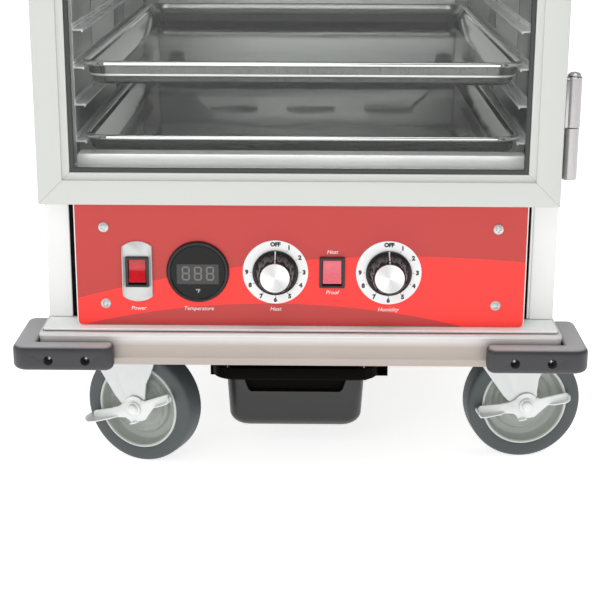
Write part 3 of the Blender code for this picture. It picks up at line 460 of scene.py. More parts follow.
def carve(obj, bm, operation="DIFFERENCE"):
    """Cuts or joins a shape for good."""
    bmesh.ops.recalc_face_normals(bm, faces=bm.faces)
    mesh = bpy.data.meshes.new("tool")
    bm.to_mesh(mesh)
    bm.free()
    tool = bpy.data.objects.new("tool", mesh)
    bpy.context.scene.collection.objects.link(tool)
    change = obj.modifiers.new("carve", "BOOLEAN")
    change.operation = operation
    change.solver = "EXACT"
    change.object = tool
    bpy.context.view_layer.update()
    drawn = obj.evaluated_get(bpy.context.evaluated_depsgraph_get())
    made = bpy.data.meshes.new_from_object(drawn)
    obj.modifiers.clear()
    obj.data = made
    made.set_sharp_from_angle(angle=SHARP)
    bpy.data.objects.remove(tool)
    return obj


def add_words(bm, words, size, matrix, weight=0.00018, slant=0.0):
    """Plain raised lettering, as thin as print."""
    curve = bpy.data.curves.new("words", "FONT")
    curve.body = words
    curve.size = size
    curve.align_x, curve.align_y = "CENTER", "CENTER"
    curve.extrude = 0.00005
    curve.offset = weight
    curve.shear = slant
    curve.resolution_u = 3
    guide = bpy.data.objects.new("words", curve)
    bpy.context.scene.collection.objects.link(guide)
    bpy.context.view_layer.update()
    mesh = bpy.data.meshes.new_from_object(guide.evaluated_get(bpy.context.evaluated_depsgraph_get()))
    mesh.transform(matrix)
    bm.from_mesh(mesh)
    bpy.data.objects.remove(guide)
    bpy.data.meshes.remove(mesh)


def screw_head(bm, matrix, radius=0.0053, height=0.0026):
    """Pan head with a cross recess, its underside at the matrix's origin."""
    dome = [(radius * math.sin(math.radians(a)), height * (0.25 + 0.75 * math.cos(math.radians(a))))
        for a in (90, 75, 60, 45, 32)]
    flat = dome[-1]
    lathe(bm, [(0, 0), (radius * 0.97, 0), *dome], matrix, 28)
    slot, reach, deep = radius * 0.17, radius * 0.55, height * 0.45
    cross = []
    for quarter in range(4):
        a = math.radians(90 * quarter)
        for x, y in ((slot, slot), (reach, slot), (reach, -slot)):
            cross.append((x * math.cos(a) - y * math.sin(a), x * math.sin(a) + y * math.cos(a)))
    cross = sorted(cross, key=lambda p: math.atan2(p[1], p[0]))
    rim = [(flat[0] * math.cos(math.atan2(y, x)), flat[0] * math.sin(math.atan2(y, x))) for x, y in cross]
    loops = [[matrix @ Vector((x, y, flat[1])) for x, y in rim], [matrix @ Vector((x, y, height))
        for x, y in cross], [matrix @ Vector((x * 0.8, y * 0.8, height - deep)) for x, y in cross]]
    skin(bm, loops)
    center = bm.verts.new(matrix @ Vector((0, 0, height - deep)))
    bm.verts.ensure_lookup_table()
    last = bm.verts[-len(cross) - 1:-1]
    for i in range(len(cross)):
        bm.faces.new((last[i], last[(i + 1) % len(cross)], center))


def rivets(name, places, matrix_of, mat, body, radius=0.0026):
    bm = bmesh.new()
    dome = [(radius * math.cos(math.radians(a)), radius * 0.45 * math.sin(math.radians(a)))
        for a in (0, 22, 45, 68)]
    for place in places:
        lathe(bm, [*dome, (0, radius * 0.45)], Matrix.Translation(place) @ matrix_of, 16)
    return piece(name, bm, mat, body)


# --- door ---------------------------------------------------------------------------------
RAIL, STEP, STEP_D, MITRE_GAP = 0.0325, 0.0075, 0.003, 0.00012


def door():
    low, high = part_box("door_frame")
    depth = high.y - low.y
    edge, nick, band = 0.0016, 0.0006, RAIL - STEP
    section = [(0, depth)] + arc((edge, edge), edge, 180, 270, 4)
    section += arc((band - nick, nick), nick, 270, 360, 3)
    section += arc((band + nick, STEP_D - nick), nick, 180, 90, 3)
    section += arc((RAIL - nick, STEP_D + nick), nick, 270, 360, 3) + [(RAIL, depth)]
    ends = {"lb": (low.x, low.z, 1, 1), "rb": (high.x, low.z, -1, 1), "lt": (low.x, high.z, 1, -1),
        "rt": (high.x, high.z, -1, -1)}
    rails = {"bottom": ("lb", "rb", MITRE_GAP, 0), "top": ("lt", "rt", MITRE_GAP, 0),
        "left": ("lb", "lt", 0, MITRE_GAP), "right": ("rb", "rt", 0, MITRE_GAP)}
    for side, (start, end, gap_x, gap_z) in rails.items():
        loops = []
        for corner, sign in ((start, 1), (end, -1)):
            x, z, sx, sz = ends[corner]
            loops.append([(x + sx * u + sign * gap_x, low.y + v, z + sz * u + sign * gap_z)
                for u, v in section])
        piece("door_rail_" + side, shape(skin, loops, caps=True), ENAMEL, "door",
            ("door_frame",) if side == "bottom" else ())

    low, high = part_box("pane_gasket")
    wide, deep = 0.0045, high.y - low.y
    section = arc((0.001, 0.0012), 0.001, 180, 270, 3) + arc((wide - 0.001, 0.0012), 0.001, 270, 360, 3)
    section = [(0, deep)] + section + [(wide, deep)]
    piece("door_glazing_gasket", shape(frame_ring, low.x, low.z, high.x, high.z, section, low.y), GASKET,
        "door", ("pane_gasket",))

    pane = carried("door_pane", GLASS)
    pane.visible_shadow = False

    low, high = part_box("door_seal")
    deep, wide = high.y - low.y, 0.012
    half = [(0.0, 0.0), (0.0, 0.0006), (0.0012, 0.0014), (0.0, 0.0024), (0.0006, deep - 0.0008),
        (0.0016, deep)]
    section = half + [(wide - u, v) for u, v in reversed(half)]
    piece("door_bellows_seal", shape(frame_ring, low.x, low.z, high.x, high.z, section, low.y), GASKET,
        "door", ("door_seal",))
    handle()
    for level in ("lower", "upper"):
        hinge(level)


def eased(points, reach, steps=5):
    """A path whose inner corners are rounded off over that reach."""
    path = [Vector(points[0])]
    for before, here, after in zip(points, points[1:], points[2:]):
        before, here, after = Vector(before), Vector(here), Vector(after)
        start = here + (before - here).normalized() * reach
        end = here + (after - here).normalized() * reach
        for i in range(steps + 1):
            t = i / steps
            path.append(start * (1 - t) ** 2 + here * 2 * t * (1 - t) + end * t ** 2)
    return path + [Vector(points[-1])]


def handle():
    low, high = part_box("door_handle")
    x, half_w, half_t = (low.x + high.x) / 2, (high.x - low.x) / 2, 0.002
    foot, bar, arm = high.y - half_t, low.y + half_t, 0.017
    path = eased([(foot, high.z), (foot, high.z - arm), (bar, high.z - arm - 0.004),
        (bar, low.z + arm + 0.004), (foot, low.z + arm), (foot, low.z)], 0.0055)
    loops = []
    for i, point in enumerate(path):
        along = (path[min(i + 1, len(path) - 1)] - path[max(i - 1, 0)]).normalized()
        loops.append([(x + u, point.x - along.y * v, point.y + along.x * v)
            for u, v in rounded(-half_w, -half_t, half_w, half_t, half_t * 0.8, 3)])
    piece("door_pull_handle", shape(skin, loops, caps=True), STEEL, "door", ("door_handle",))
    bm = bmesh.new()
    for z in (high.z - 0.0075, low.z + 0.0075):
        screw_head(bm, front_at(x, high.y - 0.004, z), 0.0040, 0.0020)
    piece("door_handle_screws", bm, CHROME, "door")


def hinge(level):
    node = "hinge_post_leaf_" + level
    low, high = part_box(node)
    door_low, door_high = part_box("hinge_door_leaf_" + level)
    axis_x, axis_y, _ = JOINTS["door_swing"]["pos_m"]
    place = Matrix.Translation((axis_x, axis_y, low.z))
    split, top, pin = door_low.z - low.z - 0.0003, door_high.z - low.z, 0.003
    r = axis_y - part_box(node)[0].y
    piece("hinge_barrel_" + level, shape(lathe, [(0, 0), (r - 0.0009, 0), (r, 0.0009), (r, split - 0.0005),
        (r - 0.0005, split), (pin, split), (pin, top + 0.0003), (0.0060, top + 0.0003),
        (0.0066, top + 0.0009), (0.0066, top + 0.0017), (0.0056, top + 0.0031), (0.0034, top + 0.0043),
        (0, top + 0.0049)], place, 40), STEEL, "cabinet", (node,))
    leaf_x = BODY_HALF_W + 0.0003
    outline = rounded(axis_y, low.z + 0.0004, high.y, low.z + split - 0.0004, 0.003, 4)
    piece("hinge_leaf_" + level, shape(prism, [(-z, y) for y, z in outline], leaf_x, leaf_x + 0.003,
        FACE_RIGHT), STEEL, "cabinet", bevel=0.0006)
    bm = bmesh.new()
    for z in (low.z + split * 0.25, low.z + split * 0.75):
        for y in (high.y - 0.008, high.y - 0.025):
            screw_head(bm, Matrix.Translation((leaf_x + 0.003, y, z)) @ FACE_RIGHT, 0.0034, 0.0015)
    piece("hinge_screws_" + level, bm, CHROME, "cabinet")
    outer = door_high.x - axis_x
    piece("hinge_knuckle_" + level, shape(lathe, [(outer - 0.0006, split + 0.0003), (outer, split + 0.0009),
        (outer, top - 0.0008), (outer - 0.0008, top), (pin + 0.0003, top), (pin + 0.0003, split + 0.0003)],
        place, 40, ring=True), STEEL, "door", ("hinge_door_leaf_" + level,))
    outline = rounded(door_low.y, door_low.z + 0.0003, door_high.y, door_high.z, 0.003, 4)
    piece("hinge_flap_" + level, shape(prism, [(-z, y) for y, z in outline], door_low.x,
        door_low.x + 0.0031, FACE_RIGHT), STEEL, "door", bevel=0.0006)


# --- cabinet body and inside --------------------------------------------------------------
def embossed(bm, low, high, outward, rise, border, to_world):
    """A sheet from low to high (a, b) whose middle field stands out by rise."""
    (a0, b0), (a1, b1) = low, high
    back, face = outward
    steps = ((0.0, back, 0.001), (0.0, face - math.copysign(0.0006, face - back), 0.001),
        (0.0006, face, 0.001), (border, face, 0.014), (border + 0.0025, face + rise * 0.5, 0.014),
        (border + 0.005, face + rise, 0.014))
    skin(bm, [[to_world(a, b, c) for a, b in rounded(a0 + i, b0 + i, a1 - i, b1 - i, r, 5)]
        for i, c, r in steps], caps=True)


RIVET_INSET, BACK_RIVET_INSET = 0.012, 0.025
RIB_ZS, RIB_HALF_W, RIB_HALF_H = (0.300, 0.312, 0.324), 0.120, 0.002


def body():
    for side, sx in (("left", -1), ("right", 1)):
        carried("post_" + side, WHITE, 0.0014, 3)
        low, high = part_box("side_panel_" + side)
        inner, outer = (high.x, low.x) if sx < 0 else (low.x, high.x)
        piece("side_sheet_" + side, shape(embossed, (low.y, low.z), (high.y, high.z), (inner, outer),
            sx * 0.0012, 0.040, lambda y, z, x: (x, y, z)), SIDE_METAL, "cabinet",
            ("side_panel_" + side,))
        turn = FACE_RIGHT if sx > 0 else FACE_LEFT
        step = (high.z - low.z - 0.06) / 6
        rivets("side_rivets_" + side, [(outer, y, low.z + 0.03 + step * i) for i in range(7)
            for y in (low.y + RIVET_INSET, high.y - RIVET_INSET)], turn, CHROME, "cabinet")
    low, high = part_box("back_panel")
    piece("back_sheet", shape(embossed, (low.x, low.z), (high.x, high.z), (low.y, high.y), 0.0012, 0.030,
        lambda x, z, y: (x, y, z)), SIDE_METAL, "cabinet", ("back_panel",))
    step = (high.x - low.x - 2 * BACK_RIVET_INSET) / 5
    rivets("back_rivets", [(low.x + BACK_RIVET_INSET + step * i, high.y, z) for i in range(6)
        for z in (low.z + RIVET_INSET, high.z - RIVET_INSET)], FACE_BACK, CHROME, "cabinet")
    for z in RIB_ZS:
        piece(f"back_rib_{round(z * 1000)}", shape(prism, rounded(-RIB_HALF_W, z - RIB_HALF_H, RIB_HALF_W,
            z + RIB_HALF_H, 0.0019, 5), 0.0, 0.0022, Matrix.Translation((0, high.y + 0.001, 0)) @ FACE_BACK
            @ Matrix.Scale(-1, 4, (0, 1, 0))), SIDE_METAL, "cabinet", bevel=0.0010,
            segments=3)
    carried("top_panel", SIDE_METAL, 0.0012, 3)
    carried("header_rail", WHITE, 0.0010, 3)
    carried("module_deck", INNER_METAL_PAINTED_LIGHT, 0.0004, 1)


def sill():
    low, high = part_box("sill_rail")
    half, shoulder, depth = 0.230, 0.333, high.y - low.y
    piece("sill_channel", shape(prism, rounded(low.x, low.z, high.x, shoulder, 0.0015, 3), -high.y, -low.y,
        FACE_FRONT), SILL_METAL, "cabinet", ("sill_rail",), bevel=0.0008)
    outline = rounded(-half, shoulder - 0.004, half, high.z - 0.0018, 0.0035, 5)
    piece("sill_lip", shape(prism, outline, -(low.y + depth - 0.001), -(low.y + 0.001), FACE_FRONT),
        SILL_METAL, "cabinet", bevel=0.0012, segments=3)


LEVELS, FIRST_LEVEL, LEVEL_PITCH = 12, 0.357, 0.0381
LEDGE_IN, LEDGE_WEB, UPRIGHT_HALF = 0.2230, 0.2345, 0.010
UPRIGHT_YS = (-0.285, 0.030, 0.340)


def slide_racks():
    for side, sx in (("left", -1), ("right", 1)):
        node = "slide_rack_" + side
        low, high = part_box(node)
        wall = low.x if sx < 0 else high.x
        bm = bmesh.new()
        for y in UPRIGHT_YS:
            w, t, inner = UPRIGHT_HALF, 0.0016, sx * LEDGE_WEB
            outline = [(wall, y - w), (inner, y - w), (inner, y + w), (wall, y + w), (wall, y + w - t),
                (inner + sx * t, y + w - t), (inner + sx * t, y - w + t), (wall, y - w + t)]
            prism(bm, outline, low.z, high.z)
        piece("slide_uprights_" + side, bm, SIDE_METAL, "cabinet", (node,), bevel=0.0005)
        section = [(LEDGE_IN + 0.0004, -0.0032), (LEDGE_IN + 0.0014, -0.0032), (LEDGE_IN + 0.0016, -0.0018),
            (LEDGE_WEB, -0.0018), (LEDGE_WEB, 0.0060), (LEDGE_WEB - 0.0012, 0.0060),
            (LEDGE_WEB - 0.0014, 0.0012), (LEDGE_WEB - 0.0028, 0.0), (LEDGE_IN + 0.0014, 0.0),
            (LEDGE_IN + 0.0004, -0.0004), (LEDGE_IN, -0.0014)]
        bm = bmesh.new()
        for level in range(LEVELS):
            top = FIRST_LEVEL + level * LEVEL_PITCH
            skin(bm, [[(sx * x, y, top + z) for x, z in section] for y in (low.y, high.y)], caps=True)
        piece("slide_ledges_" + side, bm, SLIDE_METAL, "cabinet", bevel=0.0003)


PAN_CORNER_R, BEAD_R, BEAD_Z = 0.028, 0.0029, 0.0225


def sheet_pan(level):
    node = "sheet_pan_" + level
    low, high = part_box(node)
    bead = [(BEAD_R - BEAD_R * math.cos(math.radians(a)), BEAD_Z + BEAD_R * math.sin(math.radians(a)))
        for a in range(-150, 151, 20)]

    def loops(section):
        return [[(x, y, low.z + height) for x, y in rounded(low.x + inset, low.y + inset, high.x - inset,
            high.y - inset, max(PAN_CORNER_R - inset, 0.010), 10)] for inset, height in section]

    inside = [(0.0068, 0.0200), (0.0098, 0.0115), (0.0116, 0.0058), (0.0134, 0.0030), (0.0165, 0.0014),
        (0.0210, 0.0010), (0.0600, 0.0009)]
    bm = bmesh.new()
    skin(bm, loops([(0.0600, 0.0006), (0.0205, 0.0006), (0.0064, 0.0196)] + bead + inside), caps=True)
    # each pan's sheet carries painted shade on its rear floor and the foot of its rear wall
    metal = finish_of("pan_metal_" + level, pan_painted_shade(low.z), 0.07, (9, 7, 9), metallic=1.0, detail=2.0,
        tint=0.03, rough_spread=0.03, bump=0.18, bump_depth=0.003, wear=12.0)
    piece("full_size_pan_" + level, bm, metal, node, (node,))
    outside = [(0.0200, 0.0), (0.0160, 0.0004), (0.0128, 0.0018), (0.0110, 0.0045), (0.0095, 0.0080),
        (0.0087, 0.0092), (0.0078, 0.0098), (0.0074, 0.0108), (0.0062, 0.0192)]
    back = [(0.0066, 0.0192), (0.0100, 0.0085), (0.0132, 0.0022), (0.0200, 0.0005)]
    bm = bmesh.new()
    skin(bm, loops(outside + back), ring=True)
    # painted shade: the outer walls are darker copies of the pan sheet, the lower pan's darkest
    skirt = PAINTED_SHADE_SKIRT if level == "upper" else SHADED_SKIRT
    piece("pan_skirt_" + level, bm, skirt, node)
    crease = [(0.0087, 0.0090), (0.0077, 0.0096), (0.0072, 0.0108), (0.0071, 0.0114), (0.0078, 0.0114),
        (0.0084, 0.0098), (0.0093, 0.0090)]
    # the upper crease is a painted highlight; the lower pan's crease stays in painted shade
    piece("pan_crease_" + level, shape(skin, loops(crease), ring=True),
        CREASE_HIGHLIGHT if level == "upper" else SHADED_SKIRT, node)


LOUVRE_W, LOUVRE_H, LOUVRE_XS = 0.072, 0.007, (-0.107, 0.007, 0.121)
LOUVRE_ZS = [0.390 + 0.114 * row for row in range(4)]
PLUG_XS, PLUG_Z = (-0.190, 0.200), 0.474


def air_duct():
    low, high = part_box("air_duct")
    # the duct cover's lower part carries painted light, paler below z 0.43
    duct = piece("duct_cover", shape(prism, rounded(low.x, low.z, high.x, high.z, 0.004, 4), -high.y,
        -low.y, FACE_FRONT), INNER_METAL_PAINTED_LIGHT, "cabinet", ("air_duct",), bevel=0.0015,
        segments=3)
    cut = bmesh.new()
    for x in LOUVRE_XS:
        for z in LOUVRE_ZS:
            prism(cut, rounded(x - LOUVRE_W / 2, z - LOUVRE_H / 2, x + LOUVRE_W / 2, z + LOUVRE_H / 2,
                0.003, 4), -low.y - 0.012, -low.y + 0.01, FACE_FRONT)
    carve(duct, cut)
    bm = bmesh.new()
    for x in LOUVRE_XS:
        for z in LOUVRE_ZS:
            loops = []
            for i in range(13):
                t = i / 12
                swell = max(math.sin(math.pi * t), 0.0) ** 0.35 + 0.02
                along = x + (t - 0.5) * (LOUVRE_W + 0.004)
                top = z + LOUVRE_H / 2 + 0.004 * swell
                loops.append([(along, low.y, top), (along, low.y - 0.0030 * swell, top - 0.0020 * swell),
                    (along, low.y - 0.0052 * swell, top - 0.0055 * swell), (along, low.y - 0.0044 * swell,
                    top - 0.0058 * swell), (along, low.y - 0.0022 * swell, top - 0.0032 * swell),
                    (along, low.y + 0.0003, top - 0.0022 * swell)])
            skin(bm, loops, caps=True)
    piece("duct_louvres", bm, SLIDE_METAL, "cabinet")
    bm = bmesh.new()
    for x in PLUG_XS:
        profile = [(0, 0), (0.0125, 0), (0.0125, 0.0010), (0.0115, 0.0020), (0.0040, 0.0026), (0, 0.0027)]
        lathe(bm, profile, front_at(x, low.y, PLUG_Z), 36)
    piece("duct_plugs", bm, MATT_BLACK, "cabinet")


# --- control panel ------------------------------------------------------------------------
SHAFT_ROOM, DISPLAY_HOLE_R = 0.0048, 0.0268     # radii of the holes in the panel's overlay
OVERLAY_T = 0.0003
PANEL_SCREW_X, PANEL_SCREWS = 0.2007, ((0.2783, 12), (0.1976, 57))     # height, turn of the cross
SPIN_BY_X = 400     # degrees per metre across, so that no two crosses lie alike
LABEL_Z, LABEL_SIZE = 0.1925, 0.0058
LABELS = (("Power", -0.1672, LABEL_Z), ("Temperature", -0.1050, LABEL_Z), ("Heat", -0.0257, LABEL_Z),
    ("Humidity", 0.0903, LABEL_Z), ("Heat", 0.0324, 0.2535), ("Proof", 0.0324, 0.2105))


def panel_outline(low, high, inset, corner, foot=None):
    x0, x1, z1 = low.x + inset, high.x - inset, high.z
    z0 = low.z + (inset if foot is None else foot)
    return ([(x1, z1), (x0, z1)] + arc((x0 + corner, z0 + corner), corner, 180, 270, 8)
        + arc((x1 - corner, z0 + corner), corner, 270, 360, 8))


def control_panel():
    low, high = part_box("control_panel")
    face = low.y
    loops = []
    edge = 0.0012
    for inset, y in ((0.0, high.y), (0.0, face + edge), (edge * 0.3, face + OVERLAY_T + 0.0004),
            (edge, face + OVERLAY_T), (0.006, face + OVERLAY_T)):
        loops.append([(x, y, z) for x, z in panel_outline(low, high, inset, 0.0048 - inset * 0.4)])
    inner = [(0.006, face + 0.0015), (0.0015, face + 0.0015), (0.0015, high.y)]
    loops += [[(x, y, z) for x, z in panel_outline(low, high, inset, 0.0045 - inset * 0.4)]
        for inset, y in inner]
    piece("panel_cover", shape(skin, loops, ring=True), WHITE, "cabinet", ("control_panel",))
    overlay = piece("panel_overlay", shape(prism, panel_outline(low, high, 0.0012, 0.0040, 0.0003),
        -(face + 0.0010), -face, FACE_FRONT), RED, "cabinet")
    cut = bmesh.new()
    for switch in ("power", "mode"):
        a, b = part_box(switch + "_switch_body")
        prism(cut, rounded(a.x + 0.0018, a.z + 0.0014, b.x - 0.0018, b.z - 0.0014, 0.001, 2), -face - 0.01,
            -face + 0.01, FACE_FRONT)
    for node, radius in (("display_unit", DISPLAY_HOLE_R), ("heat_knob", SHAFT_ROOM),
            ("humidity_knob", SHAFT_ROOM)):
        a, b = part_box(node)
        center = (a + b) / 2
        lathe(cut, [(0, -0.01), (radius, -0.01), (radius, 0.01), (0, 0.01)],
            front_at(center.x, face, center.z), 40)
    carve(overlay, cut)
    bm = bmesh.new()
    for x in (-PANEL_SCREW_X, PANEL_SCREW_X):
        for z, spin in PANEL_SCREWS:
            screw_head(bm, front_at(x, face, z) @ Matrix.Rotation(math.radians(spin + SPIN_BY_X * x), 4, "Z"))
    piece("panel_screws", bm, ZINC, "cabinet")
    bm = bmesh.new()
    for words, x, z in LABELS:
        add_words(bm, words, LABEL_SIZE, front_at(x, face, z), 0.00003, 0.25)
    piece("panel_words", bm, PRINT_WHITE, "cabinet")
    # painted shade: dark strips in the gaps between the posts and the panel's sides
    bm = bmesh.new()
    front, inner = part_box("post_left")[0].y + 0.0006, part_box("post_left")[1].x + 0.0001
    for x0, x1 in ((inner, low.x - 0.0003), (high.x + 0.0003, high.x + 0.0062)):
        block(bm, (x0, front, low.z + 0.0006), (x1, high.y, high.z))
    piece("panel_side_seals", bm, BLACK_AND_SHADE, "cabinet", bevel=0.0003)
    piece("panel_side_filler", shape(block, (high.x + 0.0065, front, low.z + 0.0006),
        (-inner, high.y, high.z)), WHITE, "cabinet", bevel=0.0005)


def guard():
    low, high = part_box("switch_guard")
    x, z = (low.x + high.x) / 2, (low.z + high.z) / 2
    half_w, half_h, bow = (high.x - low.x) / 2, (high.z - low.z) / 2, 0.0058
    reach = (half_w ** 2 + bow ** 2) / (2 * bow)
    spread = math.degrees(math.asin(half_w / reach))
    top = arc((0, half_h - reach), reach, 90 - spread, 90 + spread, 16)
    outline = top + [(-a, -b) for a, b in top]
    place = front_at(x, high.y, z)
    plate = piece("guard_plate", shape(prism, outline, 0, high.y - low.y, place), SATIN_PLATE, "cabinet",
        ("switch_guard",), bevel=0.0004)
    a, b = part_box("power_switch_body")
    carve(plate, shape(prism, rounded(a.x - x + 0.0019, a.z - z + 0.0014, b.x - x - 0.0019,
        b.z - z - 0.0014, 0.001, 2), -0.01, 0.02, place))
    side_h = half_h - bow
    for name, sx in (("left", -1), ("right", 1)):
        loops = []
        for i in range(15):
            t = i / 14
            rise = 0.0034 * min(1.0, math.sin(math.pi * t) * 3.2) + 0.0004
            along = (t * 2 - 1) * side_h
            base, wall = 0.0012, 0.0011
            loops.append([(sx * half_w, along, base * 0.4), (sx * half_w, along, base + rise * 0.8),
                (sx * (half_w - wall * 0.35), along, base + rise), (sx * (half_w - wall), along,
                base + rise * 0.85), (sx * (half_w - wall * 1.2), along, base + 0.0006),
                (sx * (half_w - wall * 2.6), along, base * 0.9)])
        piece("guard_lip_" + name, shape(skin, [[place @ Vector(point) for point in loop]
            for loop in loops], caps=True), SATIN_PLATE, "cabinet")


def rocker_switch(name, radius):
    a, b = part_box(name + "_switch_body")
    r0, r1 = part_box(name + "_rocker")
    pivot = Vector(JOINTS[name + "_rocker_tip"]["pos_m"])
    wall = ((b.x - a.x) - (r1.x - r0.x)) / 2 - 0.0004
    bezel_t = 0.003
    loops = []
    edge = 0.0009
    steps = ((0.0, bezel_t, radius), (0.0, edge, radius), (edge * 0.3, edge * 0.3, radius),
        (edge, 0.0, radius), (wall - 0.0010, 0.0, radius * 0.5), (wall - 0.0002, 0.0004, radius * 0.5),
        (wall, 0.0012, radius * 0.5), (wall, 0.016, radius * 0.5), (wall - 0.0007, 0.016, radius * 0.5),
        (wall - 0.0007, bezel_t, radius * 0.5))
    for inset, depth, corner in steps:
        loops.append([(x, a.y + depth, z) for x, z in rounded(a.x + inset, a.z + inset, b.x - inset,
            b.z - inset, corner, 4)])
    piece(name + "_bezel", shape(skin, loops, ring=True), MATT_BLACK, "cabinet",
        (name + "_switch_body",))
    piece(name + "_switch_back", shape(block, (r0.x - 0.0006, a.y + 0.014, pivot.z - 0.0125),
        (r1.x + 0.0006, b.y, pivot.z + 0.0125)), MATT_BLACK, "cabinet", bevel=0.0008)
    return pivot, r0, r1


ROCKER_TILT = 8.0


def rocker(name, lens, crest):
    """The lens, at the tilt it has at rest; its face is dished between two raised ends."""
    pivot, r0, r1 = rocker_switch(name, 0.0012)
    tip = (r1.z - r0.z) / 2 - 0.0003
    tilt = Matrix.Rotation(math.radians(-ROCKER_TILT), 4, "X")
    front = []
    for i in range(17):
        t = i / 16 * 2 - 1
        front.append((-0.0062 - crest * t * t, tip * t))
    outline = front + [(0.0, tip - 0.003), (0.006, 0.0055), (0.0075, 0.0), (0.006, -0.0055),
        (0.0, 0.003 - tip)]
    place = Matrix.Translation(pivot) @ tilt
    half = (r1.x - r0.x) / 2
    piece(name + "_lens", shape(skin, [[place @ Vector((x, y, z)) for y, z in outline]
        for x in (-half, half)], caps=True), lens, name + "_rocker", (name + "_rocker",),
        bevel=0.0006, segments=3, angle=40)


SEGMENT_LONG, SEGMENT_HALF_T = 0.0063, 0.00080
DIGIT_XS, DIGIT_Z = (-0.0122, 0.0002, 0.0126), -0.0012


def segments(bm, x, z, matrix):
    """The seven bars of one unlit digit."""
    long, t = SEGMENT_LONG, SEGMENT_HALF_T
    bar = [(-long / 2 + t, t), (-long / 2, 0), (-long / 2 + t, -t), (long / 2 - t, -t), (long / 2, 0),
        (long / 2 - t, t)]
    gap = 0.00035
    for dz in (0, long + gap, -long - gap):
        prism(bm, [(x + a, z + dz + b) for a, b in bar], 0, 0.0001, matrix)
    for dx in (-(long + gap) / 2, (long + gap) / 2):
        for dz in (-(long + gap) / 2, (long + gap) / 2):
            prism(bm, [(x + dx + b, z + dz + a) for a, b in bar], 0, 0.0001, matrix)


def display():
    low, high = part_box("display_unit")
    center = (low + high) / 2
    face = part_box("control_panel")[0].y
    r, front = (high.x - low.x) / 2, face - low.y
    place = front_at(center.x, face, center.z)
    rim = [(0.0262, front - 0.0016), (r - 0.0042, front - 0.0014), (r - 0.0036, front - 0.0004),
        (r - 0.0028, front), (r - 0.0014, front - 0.0002), (r - 0.0004, front - 0.0012),
        (r, front - 0.0024), (r, 0.0003), (0.0260, 0.0003), (0.0260, -0.0258), (0, -0.0258)]
    piece("display_body", shape(lathe, [(0, front - 0.0016), *rim], place, 96), GLOSS_BLACK, "cabinet",
        ("display_unit",))
    glass_r = r - 0.0042
    piece("display_lens", shape(lathe, [(0, front - 0.0009), (glass_r * 0.5, front - 0.00095),
        (glass_r - 0.0004, front - 0.0011), (glass_r, front - 0.0015), (0, front - 0.0015)], place, 96),
        LENS_BLACK, "cabinet")
    half_w, top, bottom = 0.0215, 0.0085, -0.0125
    piece("display_window", shape(prism, rounded(-half_w, bottom, half_w, top, 0.0006, 3), 0, 0.0003,
        place @ Matrix.Translation((0, 0, front - 0.0010))), WINDOW, "cabinet")
    bm = bmesh.new()
    digits = place @ Matrix.Translation((0, 0, front - 0.00068))
    for x in DIGIT_XS:
        segments(bm, x, DIGIT_Z, digits)
    piece("display_segments", bm, GHOST, "cabinet")
    bm = bmesh.new()
    add_words(bm, "°F", 0.0054, place @ Matrix.Translation((0, -0.0200, front - 0.00075)), 0.0)
    piece("display_unit_mark", bm, PRINT_WHITE, "cabinet")


DIAL_MARKS = (("OFF", 0), ("1", 28), ("2", 58), ("3", 90), ("4", 118), ("5", 150), ("6", 180),
    ("7", 210), ("8", 242), ("9", 270))
FLUTES, KNOB_STEPS = 12, 144


def dial(name):
    low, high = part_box(name + "_dial_plate")
    center = (low + high) / 2
    r = (high.x - low.x) / 2
    place = front_at(center.x, high.y, center.z)
    thick = high.y - low.y
    piece(name + "_dial_disc", shape(lathe, [(SHAFT_ROOM, 0), (r, 0), (r, thick - 0.0004),
        (r - 0.0004, thick), (SHAFT_ROOM, thick)], place, 96, ring=True), DIAL_WHITE, "cabinet",
        (name + "_dial_plate",))
    bm = bmesh.new()
    mark_r, tick_r = 0.0294, 0.0253
    for words, angle in DIAL_MARKS:
        a = math.radians(angle)
        size = 0.0058 if words == "OFF" else 0.0062
        add_words(bm, words, size, place @ Matrix.Translation((mark_r * math.sin(a), mark_r * math.cos(a),
            thick + 0.00004)), 0.00040)
        if words != "OFF":
            prism(bm, [(-0.00022, -0.0008), (0.00022, -0.0008), (0.00022, 0.0008), (-0.00022, 0.0008)],
                thick, thick + 0.0001, place @ Matrix.Rotation(-a, 4, "Z")
                @ Matrix.Translation((0, tick_r, 0)))
    piece(name + "_dial_marks", bm, PRINT_BLACK, "cabinet")
    knob(name)


